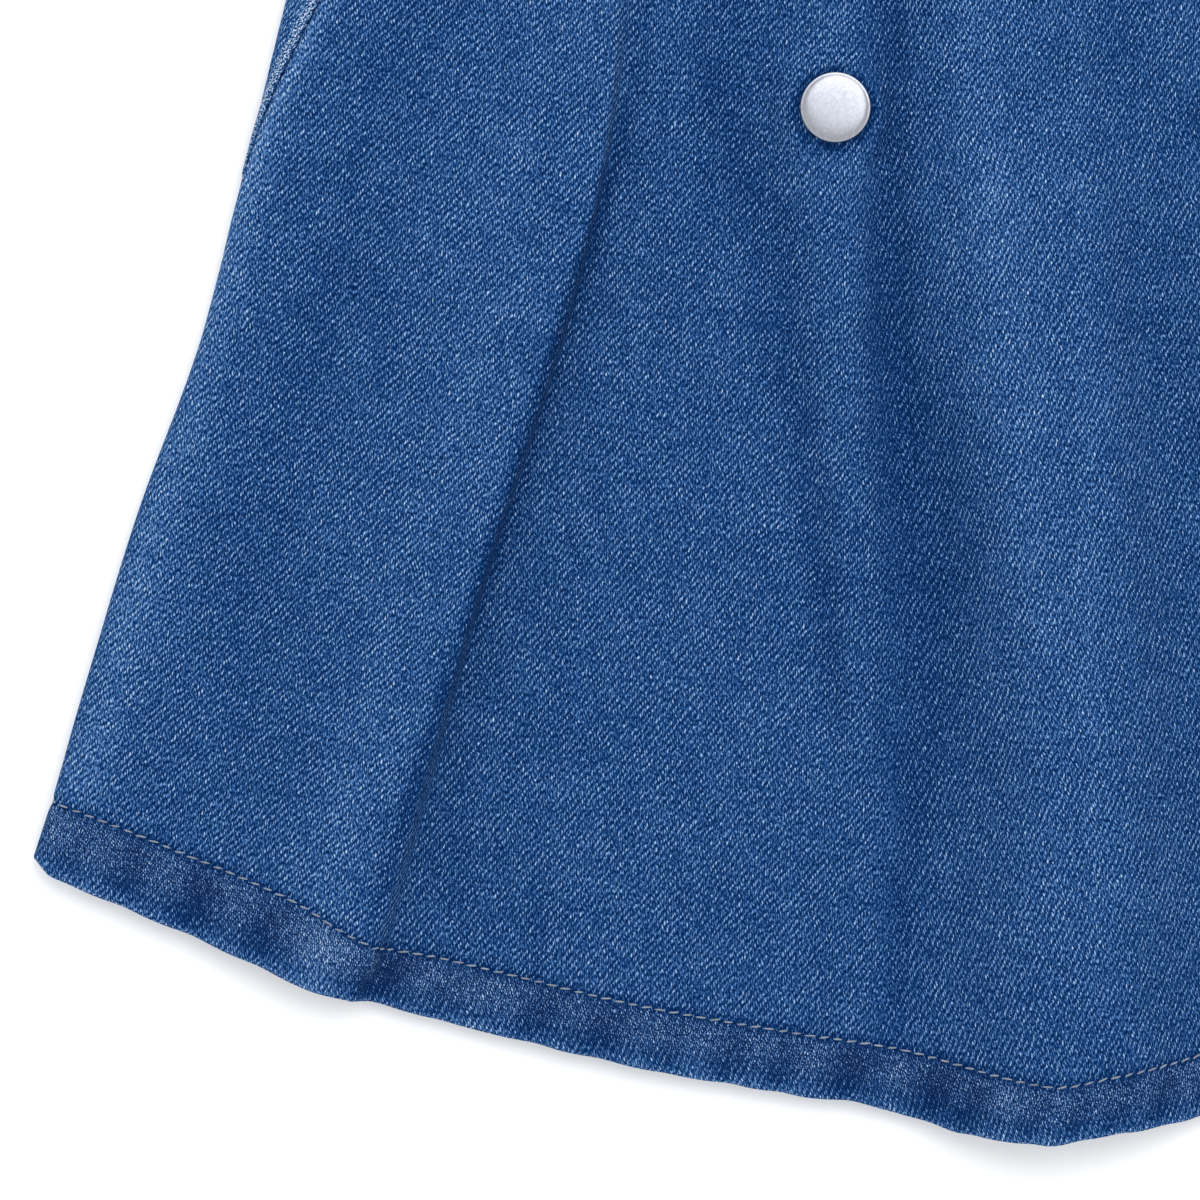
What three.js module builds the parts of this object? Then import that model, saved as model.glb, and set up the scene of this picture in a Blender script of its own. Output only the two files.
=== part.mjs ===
// A young child's flared denim skirt, laid flat on its back: a gathered front and back joined at the side seams,
// a ruched elastic waistband, a turned-up hem, and one press snap at the middle of the front.
// X runs across the skirt, Y towards the waist and Z up from the surface it lies on. Sizes are in millimetres.
// The origin is under the middle of the skirt, on that surface.
import * as THREE from "three";

const CLOTH = 1.2; // thickness of one ply of denim with its nap
const HEM_PLIES = 2.4; // thickness where the hem is turned up
const SEAM_GAP = 0.3;

const WAIST_HALF = 105; // half the width of the relaxed waist
const HEM_HALF = 171; // half the width at the hem's corners
const BAND_HEIGHT = 30;
const SIDE_LENGTH = 228; // waist seam to hem corner, measured down the middle line
const HEM_DROP = 58.5; // how far the lowest point of the hem lies below its corners
const HEM_DEPTH = 14.5; // hem edge up to its line of stitches
const BACK_INSET = 3; // the back hem lies this far inside the front hem

const TOP_Y = (BAND_HEIGHT + SIDE_LENGTH + HEM_DROP) / 2;
const SEAM_Y = TOP_Y - BAND_HEIGHT;
const CORNER_Y = SEAM_Y - SIDE_LENGTH;

const ROLL = 3.5; // radius of the soft roll where the laid tube turns over at each side
const QUARTER = (Math.PI * ROLL) / 2; // a quarter turn of that roll, measured round it
const BAND_ROLL = 4.5;
const BAND_PLIES = 3.2; // elastic in its casing
const BAND_ARCH = 6.5; // how far the front of the sprung waist stands above its sides
const ARCH_REACH = 24; // depth below the waist seam over which that arch dies away

const GATHER_STEPS = 5; // columns of the front from one gather to the next
const GATHER_RISE = 1.25;
const GATHER_REACH = 30; // depth over which the gathers die away
const HEM_PUFF = 0.35; // the hem stands this much prouder than the panel above it
const EDGE_FADE = 12; // gathers die away over this width before the cloth turns over at a side

const SNAP_DEPTH = 65.9; // snap centre below the waist seam
const SNAP_RADIUS = 7.5;
const SNAP_HEIGHT = 2.1;
const SOCKET_RADIUS = 5.6;
const SOCKET_HEIGHT = 1.9;
const STUD_RADIUS = 1.8; // of the socket's hole
const TURNED_SIDES = 32;
const SNAP_SEAT_Z = 7; // height of the cloth under the snap
const SEAT_FLAT = 9; // the cloth is flat out to this radius round the snap
const SEAT_FADE = 15;

// The sides of the laid tube. half is its half width at even steps from the waist seam (first) to the hem (last).
// seam is where the side seam lies there, at four even steps: round the roll from its outermost line, towards the
// front where the number is positive.
const SIDES = {
  left: {
    sign: -1,
    half: [WAIST_HALF, 115.8, 125.1, 134.8, 148.6, 160.2, HEM_HALF],
    seam: [21, 1.5, -4.5, -3],
  },
  right: {
    sign: 1,
    half: [WAIST_HALF, 116.6, 127, 138.6, 151, 161.4, HEM_HALF],
    seam: [-8, -5, -3, -3],
  },
};

// The folds of the front, from left to right. across is the X of each fold's line a third and two thirds of the way
// down and at the hem, and height is its Z at the waist seam and then at those three. drop is how far the hem lies
// below its corners there, and steps is how many columns of the mesh lead up to the fold from the one before it.
const FOLDS = [
  { name: "left trough", across: [-104, -128, -139], height: [7.5, 6.2, 6.2, 7.6], drop: 13.4, steps: 10 },
  { name: "left flute", across: [-70, -94, -113], height: [7.5, 9, 10.4, 11.6], drop: 24.8, steps: 9 },
  { name: "flute edge", across: [-51, -77.6, -103.4], height: [7, 8.2, 9.6, 10.4], drop: 27.4, steps: 9 },
  { name: "flute foot", across: [-46.5, -74, -99.5], height: [6.6, 3.4, 3.2, 5.4], drop: 28.2, steps: 3 },
  { name: "middle", across: [-32, -38, -47], height: [7, 4.3, 4.5, 6.8], drop: 41.2, steps: 5 },
  { name: "left valley", across: [-16.5, -2, -8], height: [6.2, 3.2, 4, 6.4], drop: 48.2, steps: 5 },
  { name: "snap ridge", across: [1.5, 4, 3], height: [7.2, 7, 5.2, 6.2], drop: 49.6, steps: 7 },
  { name: "deep valley", across: [12.6, 18.5, 12.5], height: [6.4, 3, 3, 5.8], drop: 51.4, steps: 6 },
  { name: "right flute", across: [33, 46.5, 44], height: [7.2, 9.2, 14.6, 16.8], drop: HEM_DROP, steps: 8 },
  { name: "flute shoulder", across: [53.5, 56, 57], height: [7.2, 8.6, 13.4, 15.6], drop: 57, steps: 7 },
  { name: "right valley", across: [66, 80, 82], height: [6.6, 4.4, 3.3, 5.8], drop: 51.2, steps: 7 },
  { name: "outer flute", across: [87, 108, 119], height: [7.5, 8.6, 11.2, 12.6], drop: 33, steps: 8 },
  { name: "right trough", across: [106, 130, 143], height: [7.2, 6.2, 6, 7.6], drop: 17.2, steps: 7 },
];
const LAST_STEPS = 7; // columns from the last fold to the right side seam

// Rows of both panels, as shares of the way from the waist seam to the line of stitches, and then the rows of the
// hem, as shares of its depth.
const PANEL_ROWS = [
  0, 0.025, 0.055, 0.09, 0.14, 0.185, 0.215, 0.247, 0.279, 0.309, 0.37, 0.47, 0.57, 0.67, 0.77, 0.87, 0.95, 1,
];
const HEM_ROWS = [0.1, 0.5, 1];
const BAND_ROWS = [0, 0.12, 0.5, 0.88, 1];
const BACK_EDGE_STEPS = 7; // over each roll of the back and EDGE_FLAT beyond it
const BACK_MIDDLE_STEPS = 20;
const EDGE_FLAT = 6;
const BAND_ROLL_STEPS = 6;

const denim = new THREE.MeshStandardMaterial({ color: 0x2f5a94, roughness: 0.92, metalness: 0 });
const dullNickel = new THREE.MeshStandardMaterial({ color: 0xd9dbe0, roughness: 0.38, metalness: 1 });

const clamp = (value, low, high) => Math.min(high, Math.max(low, value));
const mix = (a, b, share) => a + (b - a) * share;
const ease = (share) => (1 - Math.cos(Math.PI * clamp(share, 0, 1))) / 2;

// A smooth curve through values that stand at even stations, with t running from 0 to 1.
function along(values, t) {
  const spans = values.length - 1;
  const i = Math.min(spans - 1, Math.floor(t * spans));
  const u = t * spans - i;
  const slope = (k) => (values[Math.min(spans, k + 1)] - values[Math.max(0, k - 1)]) / (k > 0 && k < spans ? 2 : 1);
  const u2 = u * u;
  const u3 = u2 * u;
  return (
    values[i] * (2 * u3 - 3 * u2 + 1) +
    values[i + 1] * (3 * u2 - 2 * u3) +
    slope(i) * (u3 - 2 * u2 + u) +
    slope(i + 1) * (u3 - u2)
  );
}

// A smooth curve through uneven points, which are given as xs in rising order with their ys.
function through(xs, ys, x) {
  let i = 0;
  while (i < xs.length - 2 && x > xs[i + 1]) i += 1;
  const slope = (k) => {
    const low = Math.max(0, k - 1);
    const high = Math.min(xs.length - 1, k + 1);
    return (ys[high] - ys[low]) / (xs[high] - xs[low]);
  };
  const width = xs[i + 1] - xs[i];
  const u = clamp((x - xs[i]) / width, 0, 1);
  const u2 = u * u;
  const u3 = u2 * u;
  return (
    ys[i] * (2 * u3 - 3 * u2 + 1) +
    ys[i + 1] * (3 * u2 - 2 * u3) +
    slope(i) * width * (u3 - 2 * u2 + u) +
    slope(i + 1) * width * (u3 - u2)
  );
}

const sideX = (side, t) => side.sign * along(side.half, t);

// The column of the mesh that each fold lies on. They are evenly spaced along the waist seam.
const FOLD_COLUMNS = FOLDS.map((fold, i) => FOLDS.slice(0, i + 1).reduce((sum, each) => sum + each.steps, 0));
const FRONT_COLUMNS = FOLD_COLUMNS[FOLDS.length - 1] + LAST_STEPS;
const waistX = (column) => mix(ROLL - WAIST_HALF, WAIST_HALF - ROLL, column / FRONT_COLUMNS);
const foldX = (i, t) => along([waistX(FOLD_COLUMNS[i]), ...FOLDS[i].across], t);

const HEM_XS = [-HEM_HALF, ...FOLDS.map((fold) => fold.across[2]), HEM_HALF];
const HEM_DROPS = [0, ...FOLDS.map((fold) => fold.drop), 0];
const hemY = (x) => CORNER_Y - through(HEM_XS, HEM_DROPS, x);

// The lines that the front's height is worked out between at station t: the tops of the two rolls and the folds.
function foldLines(t) {
  return [
    { x: sideX(SIDES.left, t) + ROLL, z: 2 * ROLL, column: 0 },
    ...FOLDS.map((fold, i) => ({ x: foldX(i, t), z: along(fold.height, t), column: FOLD_COLUMNS[i] })),
    { x: sideX(SIDES.right, t) - ROLL, z: 2 * ROLL, column: FRONT_COLUMNS },
  ];
}

// The height of the front's outer face at x on station t, which lies depth below the waist seam.
function frontHeight(x, t, depth) {
  const lines = foldLines(t);
  let i = 0;
  while (i < lines.length - 2 && x > lines[i + 1].x) i += 1;
  const share = clamp((x - lines[i].x) / (lines[i + 1].x - lines[i].x), 0, 1);
  const fold = mix(lines[i].z, lines[i + 1].z, ease(share));
  const across = Math.min(1, Math.abs(x) / WAIST_HALF);
  const arch = BAND_ARCH * (1 - across * across) * Math.exp(-((depth / ARCH_REACH) ** 2));
  const column = mix(lines[i].column, lines[i + 1].column, share);
  const gather = gatherWave(column) * gatherFade(x, t) * Math.exp(-((depth / GATHER_REACH) ** 2));
  const z = fold + arch + gather;
  const fromSnap = Math.hypot(x, depth - SNAP_DEPTH);
  return mix(SNAP_SEAT_Z, z, ease((fromSnap - SEAT_FLAT) / (SEAT_FADE - SEAT_FLAT)));
}

const gatherWave = (column) => GATHER_RISE * Math.cos((2 * Math.PI * column) / GATHER_STEPS);

// Gathers fade out where the cloth turns over at the sides.
function gatherFade(x, t) {
  const fromSide = Math.min(x - sideX(SIDES.left, t), sideX(SIDES.right, t) - x) - ROLL;
  return ease(fromSide / EDGE_FADE);
}

// X and Z of a point at a side of the tube, reach being measured round the roll from its outermost line.
function sidePoint(side, t, reach, depth) {
  const turn = clamp(reach / ROLL, -Math.PI / 2, Math.PI / 2);
  const beyond = Math.max(0, Math.abs(reach) - QUARTER);
  const x = sideX(side, t) - side.sign * (ROLL * (1 - Math.cos(turn)) + beyond);
  const z = reach > QUARTER ? frontHeight(x, t, depth) : ROLL * (1 + Math.sin(turn));
  return { x, z };
}

// The outward direction at a side seam.
function seamDirection(side, t) {
  const turn = clamp(along(side.seam, t) / ROLL, -Math.PI / 2, Math.PI / 2);
  return new THREE.Vector3(side.sign * Math.cos(turn), 0, Math.sin(turn));
}

// How far round the roll from its outermost line a front point at x lies.
const reachOf = (side, t, x) => side.sign * (sideX(side, t) - x) - ROLL + QUARTER;

// The three spans of a row of the front: left seam to first fold, fold to fold, and last fold to right seam.
function frontRow(t, yOf, depthOf) {
  const points = [];
  const add = ({ x, z }) => points.push(new THREE.Vector3(x, yOf(x), z));
  const sideSpan = (side, from, to, steps, first) => {
    for (let k = first; k <= steps; k += 1) {
      const reach = mix(from, to, k / steps);
      const x = sidePoint(side, t, reach, 0).x;
      add(sidePoint(side, t, reach, depthOf(x)));
    }
  };
  const { left, right } = SIDES;
  const leftSeam = along(left.seam, t) + SEAM_GAP / 2;
  const rightSeam = along(right.seam, t) + SEAM_GAP / 2;
  sideSpan(left, leftSeam, reachOf(left, t, foldX(0, t)), FOLDS[0].steps, 0);
  for (let i = 1; i < FOLDS.length; i += 1) {
    for (let k = 1; k <= FOLDS[i].steps; k += 1) {
      const x = mix(foldX(i - 1, t), foldX(i, t), k / FOLDS[i].steps);
      add({ x, z: frontHeight(x, t, depthOf(x)) });
    }
  }
  sideSpan(right, reachOf(right, t, foldX(FOLDS.length - 1, t)), rightSeam, LAST_STEPS, 1);
  return points;
}

// A row of the back: from the right seam round the right roll, flat over the surface, and up to the left seam.
function backRow(t, yOf) {
  const points = [];
  const { left, right } = SIDES;
  const leftSeam = along(left.seam, t) - SEAM_GAP / 2;
  const rightSeam = along(right.seam, t) - SEAM_GAP / 2;
  const flat = -(QUARTER + EDGE_FLAT);
  const add = (x, z) => points.push(new THREE.Vector3(x, yOf(x), z));
  for (let k = 0; k <= BACK_EDGE_STEPS; k += 1) {
    const { x, z } = sidePoint(right, t, mix(rightSeam, flat, k / BACK_EDGE_STEPS), 0);
    add(x, z);
  }
  const start = sidePoint(right, t, flat, 0).x;
  const end = sidePoint(left, t, flat, 0).x;
  for (let k = 1; k < BACK_MIDDLE_STEPS; k += 1) add(mix(start, end, k / BACK_MIDDLE_STEPS), 0);
  for (let k = 0; k <= BACK_EDGE_STEPS; k += 1) {
    const reach = mix(flat, leftSeam, k / BACK_EDGE_STEPS);
    const x = sidePoint(left, t, reach, 0).x;
    add(x, sidePoint(left, t, reach, (SEAM_Y - yOf(x))).z);
  }
  return points;
}

// Rows of a panel with the wall's thickness at each, from just under the waistband to the hem's edge. bottomY gives
// the hem's Y at an X of the hem, and each row runs level with it in proportion.
function panelRows(makeRow, bottomY) {
  const rows = [];
  const top = SEAM_Y - SEAM_GAP;
  const plies = (share) => (share === 0 ? CLOTH : HEM_PLIES);
  const row = (share, hemShare) => {
    const rise = HEM_DEPTH * (1 - hemShare);
    const t = mix(share * (1 - HEM_DEPTH / SIDE_LENGTH), 1, hemShare);
    const yOf = (x) => {
      const edge = bottomY(hemLine(x, t));
      return mix(top, edge + rise, share);
    };
    const ends = makeRow === frontRow ? [SIDES.left, SIDES.right] : [SIDES.right, SIDES.left];
    rows.push({
      points: makeRow(t, yOf, (x) => SEAM_Y - yOf(x)),
      ends: ends.map((side) => seamDirection(side, t)),
      thickness: plies(hemShare),
    });
  };
  PANEL_ROWS.forEach((share) => row(share, 0));
  HEM_ROWS.forEach((hemShare) => row(1, hemShare));
  return rows;
}

// The X on the hem that the fold line or side through x on station t runs down to.
function hemLine(x, t) {
  const lines = foldLines(t);
  const ends = foldLines(1);
  const last = lines.length - 1;
  if (x <= lines[0].x) return ends[0].x + x - lines[0].x;
  if (x >= lines[last].x) return ends[last].x + x - lines[last].x;
  let i = 0;
  while (x > lines[i + 1].x) i += 1;
  const share = (x - lines[i].x) / (lines[i + 1].x - lines[i].x);
  return mix(ends[i].x, ends[i + 1].x, share);
}

// The outward direction of a surface of rows at one of its points, with no lean up or down the skirt.
function wallDirection(rows, j, i, closed) {
  const row = rows[j].points;
  const count = row.length;
  if (!closed && i === 0) return rows[j].ends[0];
  if (!closed && i === count - 1) return rows[j].ends[1];
  const before = row[(i + count - 1) % count];
  const after = row[(i + 1) % count];
  const above = rows[Math.max(0, j - 1)].points[i];
  const below = rows[Math.min(rows.length - 1, j + 1)].points[i];
  const down = new THREE.Vector3().subVectors(below, above);
  const onward = new THREE.Vector3().subVectors(after, before);
  const normal = down.cross(onward).normalize();
  normal.y = 0;
  return normal.normalize();
}

// A closed wall: the rows are its outer face, and its inner face lies inwards of them by each row's thickness.
function wall(rows, closed = false) {
  const columns = rows[0].points.length;
  const outer = rows.map((row) => row.points);
  const inner = rows.map((row, j) =>
    row.points.map((point, i) => point.clone().addScaledVector(wallDirection(rows, j, i, closed), -row.thickness)),
  );
  const positions = [...outer, ...inner].flat().flatMap((point) => [point.x, point.y, point.z]);
  const index = [];
  const at = (layer, j, i) => (layer * rows.length + j) * columns + (i % columns);
  const quad = (a, b, c, d) => index.push(a, b, c, c, b, d);
  const spans = closed ? columns : columns - 1;
  for (let j = 0; j < rows.length - 1; j += 1) {
    for (let i = 0; i < spans; i += 1) {
      quad(at(0, j, i), at(0, j + 1, i), at(0, j, i + 1), at(0, j + 1, i + 1));
      quad(at(1, j, i), at(1, j, i + 1), at(1, j + 1, i), at(1, j + 1, i + 1));
    }
  }
  const last = rows.length - 1;
  for (let i = 0; i < spans; i += 1) {
    quad(at(1, 0, i), at(0, 0, i), at(1, 0, i + 1), at(0, 0, i + 1));
    quad(at(0, last, i), at(1, last, i), at(0, last, i + 1), at(1, last, i + 1));
  }
  if (!closed) {
    for (let j = 0; j < last; j += 1) {
      quad(at(1, j, 0), at(1, j + 1, 0), at(0, j, 0), at(0, j + 1, 0));
      quad(at(0, j, columns - 1), at(0, j + 1, columns - 1), at(1, j, columns - 1), at(1, j + 1, columns - 1));
    }
  }
  const geometry = new THREE.BufferGeometry();
  geometry.setAttribute("position", new THREE.Float32BufferAttribute(positions, 3));
  geometry.setIndex(index);
  geometry.computeVertexNormals();
  return geometry;
}

// The gathered front, with its flutes, its flat seat for the snap and its hem.
function makeFront() {
  const rows = panelRows(frontRow, hemY);
  rows.slice(-HEM_ROWS.length).forEach((row) => {
    row.points.forEach((point) => {
      point.z += HEM_PUFF * Math.min(1, point.z / (2 * ROLL));
    });
  });
  return wall(rows);
}

// The back, which lies flat on the surface and turns up over both sides to meet the front.
function makeBack() {
  const inset = (x) => BACK_INSET * ease((HEM_HALF - Math.abs(x)) / 30);
  return wall(panelRows(backRow, (x) => hemY(x) + inset(x)));
}

// One row of the waistband, all the way round: over the arched front and back under it.
function bandLoop(y, ruche) {
  const points = [];
  const add = (x, z) => points.push(new THREE.Vector3(x, y, z));
  const inside = WAIST_HALF - BAND_ROLL;
  for (let column = 0; column <= FRONT_COLUMNS; column += 1) {
    const x = mix(-inside, inside, column / FRONT_COLUMNS);
    const across = x / inside;
    const rise = ease((inside - Math.abs(x)) / EDGE_FADE);
    add(x, 2 * BAND_ROLL + BAND_ARCH * (1 - across * across) + ruche * rise * gatherWave(column));
  }
  const roll = (sign) => {
    for (let k = 1; k < BAND_ROLL_STEPS; k += 1) {
      const turn = (Math.PI * k) / BAND_ROLL_STEPS;
      add(sign * (inside + BAND_ROLL * Math.sin(turn)), BAND_ROLL * (1 + sign * Math.cos(turn)));
    }
  };
  roll(1);
  for (let k = 0; k <= BACK_MIDDLE_STEPS; k += 1) add(mix(inside, -inside, k / BACK_MIDDLE_STEPS), 0);
  roll(-1);
  return points;
}

// The ruched elastic waistband, a flattened ring that the wearer steps through.
function makeWaistband() {
  const rows = BAND_ROWS.map((share) => ({
    points: bandLoop(mix(TOP_Y, SEAM_Y, share), mix(0.75, 1, share)),
    thickness: BAND_PLIES,
  }));
  return wall(rows, true);
}

// The snap's cap, a shallow dome with a rolled rim, and the socket that it is riveted to behind the cloth.
function makeSnapCap() {
  const profile = [
    { inset: SNAP_RADIUS, z: 0 },
    { inset: 0.7, z: 0 },
    { inset: 0.15, z: 0.35 },
    { inset: 0, z: 0.8 },
    { inset: 0.15, z: 1.25 },
    { inset: 0.6, z: 1.65 },
    { inset: 1.6, z: 1.9 },
    { inset: SNAP_RADIUS / 2, z: 2.05 },
    { inset: SNAP_RADIUS, z: SNAP_HEIGHT },
  ];
  return turned(profile, SNAP_RADIUS);
}

function makeSnapSocket() {
  const bore = SOCKET_RADIUS - STUD_RADIUS;
  const profile = [
    { inset: bore, z: -SOCKET_HEIGHT },
    { inset: 1.2, z: -SOCKET_HEIGHT },
    { inset: 0.4, z: -1.5 },
    { inset: 0, z: -0.5 },
    { inset: 0, z: 0 },
    { inset: bore, z: 0 },
    { inset: bore, z: -SOCKET_HEIGHT },
  ];
  return turned(profile, SOCKET_RADIUS);
}

// A metal part turned about Z, from points that lie inset from its radius.
function turned(profile, radius) {
  const points = profile.map(({ inset, z }) => new THREE.Vector2(radius - inset, z));
  return new THREE.LatheGeometry(points, TURNED_SIDES).rotateX(Math.PI / 2);
}

const skirt = new THREE.Group();

function place(name, geometry, material) {
  const mesh = new THREE.Mesh(geometry, material);
  mesh.name = name;
  skirt.add(mesh);
  return mesh;
}

place("front_panel", makeFront(), denim);
place("back_panel", makeBack(), denim);
place("waistband", makeWaistband(), denim);

const cap = place("snap_cap", makeSnapCap(), dullNickel);
cap.position.set(0, SEAM_Y - SNAP_DEPTH, SNAP_SEAT_Z + SEAM_GAP);

const socket = place("snap_socket", makeSnapSocket(), dullNickel);
socket.position.set(0, SEAM_Y - SNAP_DEPTH, SNAP_SEAT_Z - CLOTH - SEAM_GAP);

export default skirt;
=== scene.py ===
# A young child's denim skirt laid flat on its back, seen from straight above with its lower front in view.
import math
from collections import namedtuple

import bmesh
import bpy
import numpy as np
from mathutils import Matrix, Vector


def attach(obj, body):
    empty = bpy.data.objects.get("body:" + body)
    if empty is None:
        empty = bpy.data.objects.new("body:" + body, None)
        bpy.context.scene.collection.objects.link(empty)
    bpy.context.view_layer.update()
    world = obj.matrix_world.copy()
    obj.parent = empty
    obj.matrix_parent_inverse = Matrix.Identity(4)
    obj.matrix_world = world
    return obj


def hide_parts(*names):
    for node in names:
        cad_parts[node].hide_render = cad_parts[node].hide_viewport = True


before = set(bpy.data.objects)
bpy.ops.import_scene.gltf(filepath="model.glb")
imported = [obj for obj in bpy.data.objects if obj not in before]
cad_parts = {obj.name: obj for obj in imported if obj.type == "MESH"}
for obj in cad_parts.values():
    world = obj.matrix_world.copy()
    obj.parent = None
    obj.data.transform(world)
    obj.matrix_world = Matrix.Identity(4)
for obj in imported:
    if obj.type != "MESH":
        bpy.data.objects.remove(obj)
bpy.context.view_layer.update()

# Sizes are in millimetres, as in the part's source, and become metres only when a mesh is made.
MM = 0.001
SAME_PLACE = 0.01

PLY = 1.1  # one ply of denim, a little under its solid so that two can lie together
PLY_GAP = 0.1
WAIST_HALF = 105
HEM_HALF = 171
BAND_HEIGHT = 30
SIDE_LENGTH = 228
HEM_DROP = 58.5
HEM_DEPTH = 14.5
TURN_SHORT = 0.8  # how far below the line of stitches the turned-up ply's cut edge lies
BACK_INSET = 3  # how far the back's hem lies above the front's
INSET_REACH = 30
TOP_Y = (BAND_HEIGHT + SIDE_LENGTH + HEM_DROP) / 2
SEAM_Y = TOP_Y - BAND_HEIGHT
CORNER_Y = SEAM_Y - SIDE_LENGTH
SEAM_GAP = 0.3
SHELL_GAP = 0.04  # the sewn panels meet in a groove, so their edges here are nearer than their solids'

ROLL = 3.5
QUARTER = math.pi * ROLL / 2  # along the cloth from a side's outermost line to the top of its roll
BAND_ROLL = 4.5
BAND_PLIES = 3.2
BAND_ARCH = 6.5
ARCH_REACH = 24
GATHER_STEPS = 5  # columns from one gather's crest to the next
GATHER_RISE = 1.25
GATHER_REACH = 30
EDGE_FADE = 12
EDGE_FLAT = 6
HEM_PUFF = 0.35
HEM_FADE = 1.5

SNAP_DEPTH = 65.9
SNAP_Y = SEAM_Y - SNAP_DEPTH
SNAP_RADIUS = 7.5
SNAP_SEAT_Z = 7
SNAP_SINK = 0.15  # how much lower the cap sits than its solid, which is clear of the cloth
# The cap's radius and height, from the middle of its face over the groove and the rim to its foot.
SNAP_PROFILE = (
    (0, 2.02), (1.5, 2.01), (3, 1.99), (4.5, 1.94), (5.6, 1.87), (6.3, 1.78), (6.75, 1.65), (7, 1.5),
    (7.12, 1.47), (7.26, 1.48), (7.4, 1.4), (7.5, 1.2), (7.5, 0.75), (7.35, 0.35), (7, 0.1), (6.4, 0), (0, 0),
)
SNAP_STEPS = 96
SEAT_FLAT = 9
SEAT_FADE = 15

STITCH_PITCH = 2.95
STITCH_LENGTH = 2.25
STITCH_LEAN = 9  # how far each stitch turns from the line it is sewn on, in degrees
STITCH_SWAY = 5  # how far that turn wanders
STITCH_UNEVEN = 0.12  # how far its length wanders, as a share of itself
STITCH_AHEAD = 0.5  # how far on along the line its direction is taken from
THREAD = 0.46
THREAD_LIFT = 0.15  # how much of its thickness a thread's middle stands above the cloth
THREAD_LYING = Matrix.Rotation(math.pi / 2, 4, "Y")  # turns a ball's poles to the thread's ends
WARP_PITCH = 0.505
WEFT_PITCH = 0.615

# Marks that follow an edge: how far from it each lies, how far it reaches and how strong it is. A relief is
# in millimetres, above zero where it stands out. A tone is above zero where the cloth is pale, and below zero
# where it is deep.
Mark = namedtuple("Mark", "place reach strength")
STITCH_GROOVE = Mark(0, 0.9, -0.45)
SEAM_RIDGE = Mark(1.4, 1.2, 0.3)
SEAM_GROOVE = Mark(0, 0.45, -0.25)
BACK_SEAM_RIDGE = Mark(1.2, 1, 0.5)
SNAP_DENT = Mark(0.6, 1, -0.25)
HEM_TONE = -0.75
# Puckers are painted with shade in their troughs and with light on their ridges.
PUCKER_SHADING = 1.6
HEM_FACE_TONE = Mark(0, 7, 0.4)
HEM_EDGE_TONE = Mark(0, 2.6, 0.9)
SEAM_EDGE_TONE = Mark(1.4, 1.8, 0.8)
SEAM_LINE_TONE = Mark(0, 0.55, -1.6)
# Painted shade in the groove of the hem's stitches.
STITCH_GROOVE_SHADE = Mark(-0.2, 0.85, -1.5)
SNAP_SHADOW = Mark(0.4, 0.9, -1.8)
SHADOW_SHIFT = (-0.5, -0.7)
BACK_TONE = 0.45
BACK_SEAM_TONES = (Mark(9, 5, 0.25), Mark(1.2, 1.2, 0.1))
BACK_HEM_TONE = Mark(0, 1.6, 0.5)
SEAM_WEAR = Mark(0, 0.8, 0.3)
HEM_WEAR = Mark(0, 1.2, 0.3)
BACK_SEAM_WEAR = Mark(1.3, 1.05, 1.1)
BACK_HEM_WEAR = Mark(0, 0.7, 0.3)
# The tops of the rolled sides are paler: wear where the cloth folds over, and painted light.
ROLL_TONE = 0.2
# How clearly the white weft shows between the ribs, from 0 to 1, on the cloth and in the hems. In the front
# hem it starts this far above the edge and fades in over this far.
BARE_DOTS = 0.1
FRONT_HEM_DOTS = 0.65
FRONT_DOTS_START = 1
FRONT_DOTS_FADE = 8
BACK_HEM_DOTS = 0.6
# The waistband's marks, with places and reaches as shares of its height from the top. The stitches that close
# the casing hold its ruching down.
BAND_RUCHE = (0.6375, 0.85)  # the height of its ruching at the top and foot, as a share of the gathers'
BAND_INSIDE_RUCHE = 0.6
BAND_CRINKLE = 0.35
BAND_STITCH = Mark(0.87, 0.05, -0.55)
BAND_TONE = -0.1
# The ruching is painted paler on its crests and deeper in its troughs, as painted light and shade.
BAND_RUCHE_SHADING = 0.3
BAND_TOP_TONE = Mark(0.01, 0.05, 0.45)
BAND_TOP_WEAR = Mark(0, 0.03, 0.25)
UNMARKED = 99  # farther from a seam than any of its marks reach

# The view is 256 mm wide at the height of the rolled edges, centred left of and below the skirt's middle.
VIEW_WIDTH = 256
VIEW_CENTRE = (-50, -42.3)
VIEW_FOCUS_Z = 3
LENS = 160
SENSOR = 36
# The stage: a pale room, and a soft light with its place, the point that it faces and its size in metres.
ROOM_COLOUR = (0.97, 0.985, 1, 1)
ROOM_STRENGTH = 1.15
LAMP_PLACE = (0.2, 0.55, 1.05)
LAMP_AIM = (-0.05, -0.04, 0)
LAMP_SIZE = 1.0
LAMP_WATTS = 7
FLOOR_HALF = 2
FLOOR_DROP = 0.05  # in millimetres

# A side's half widths at even stations from the waist seam to the hem, and how far round the roll its seam
# lies from the outermost line at four of them: above zero on top of the skirt, and below zero under it.
Side = namedtuple("Side", "sign half seam")
LEFT = Side(-1, (WAIST_HALF, 115.8, 125.1, 134.8, 148.6, 160.2, HEM_HALF), (21, 1.5, -4.5, -3))
RIGHT = Side(1, (WAIST_HALF, 116.6, 127, 138.6, 151, 161.4, HEM_HALF), (-8, -5, -3, -3))
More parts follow.
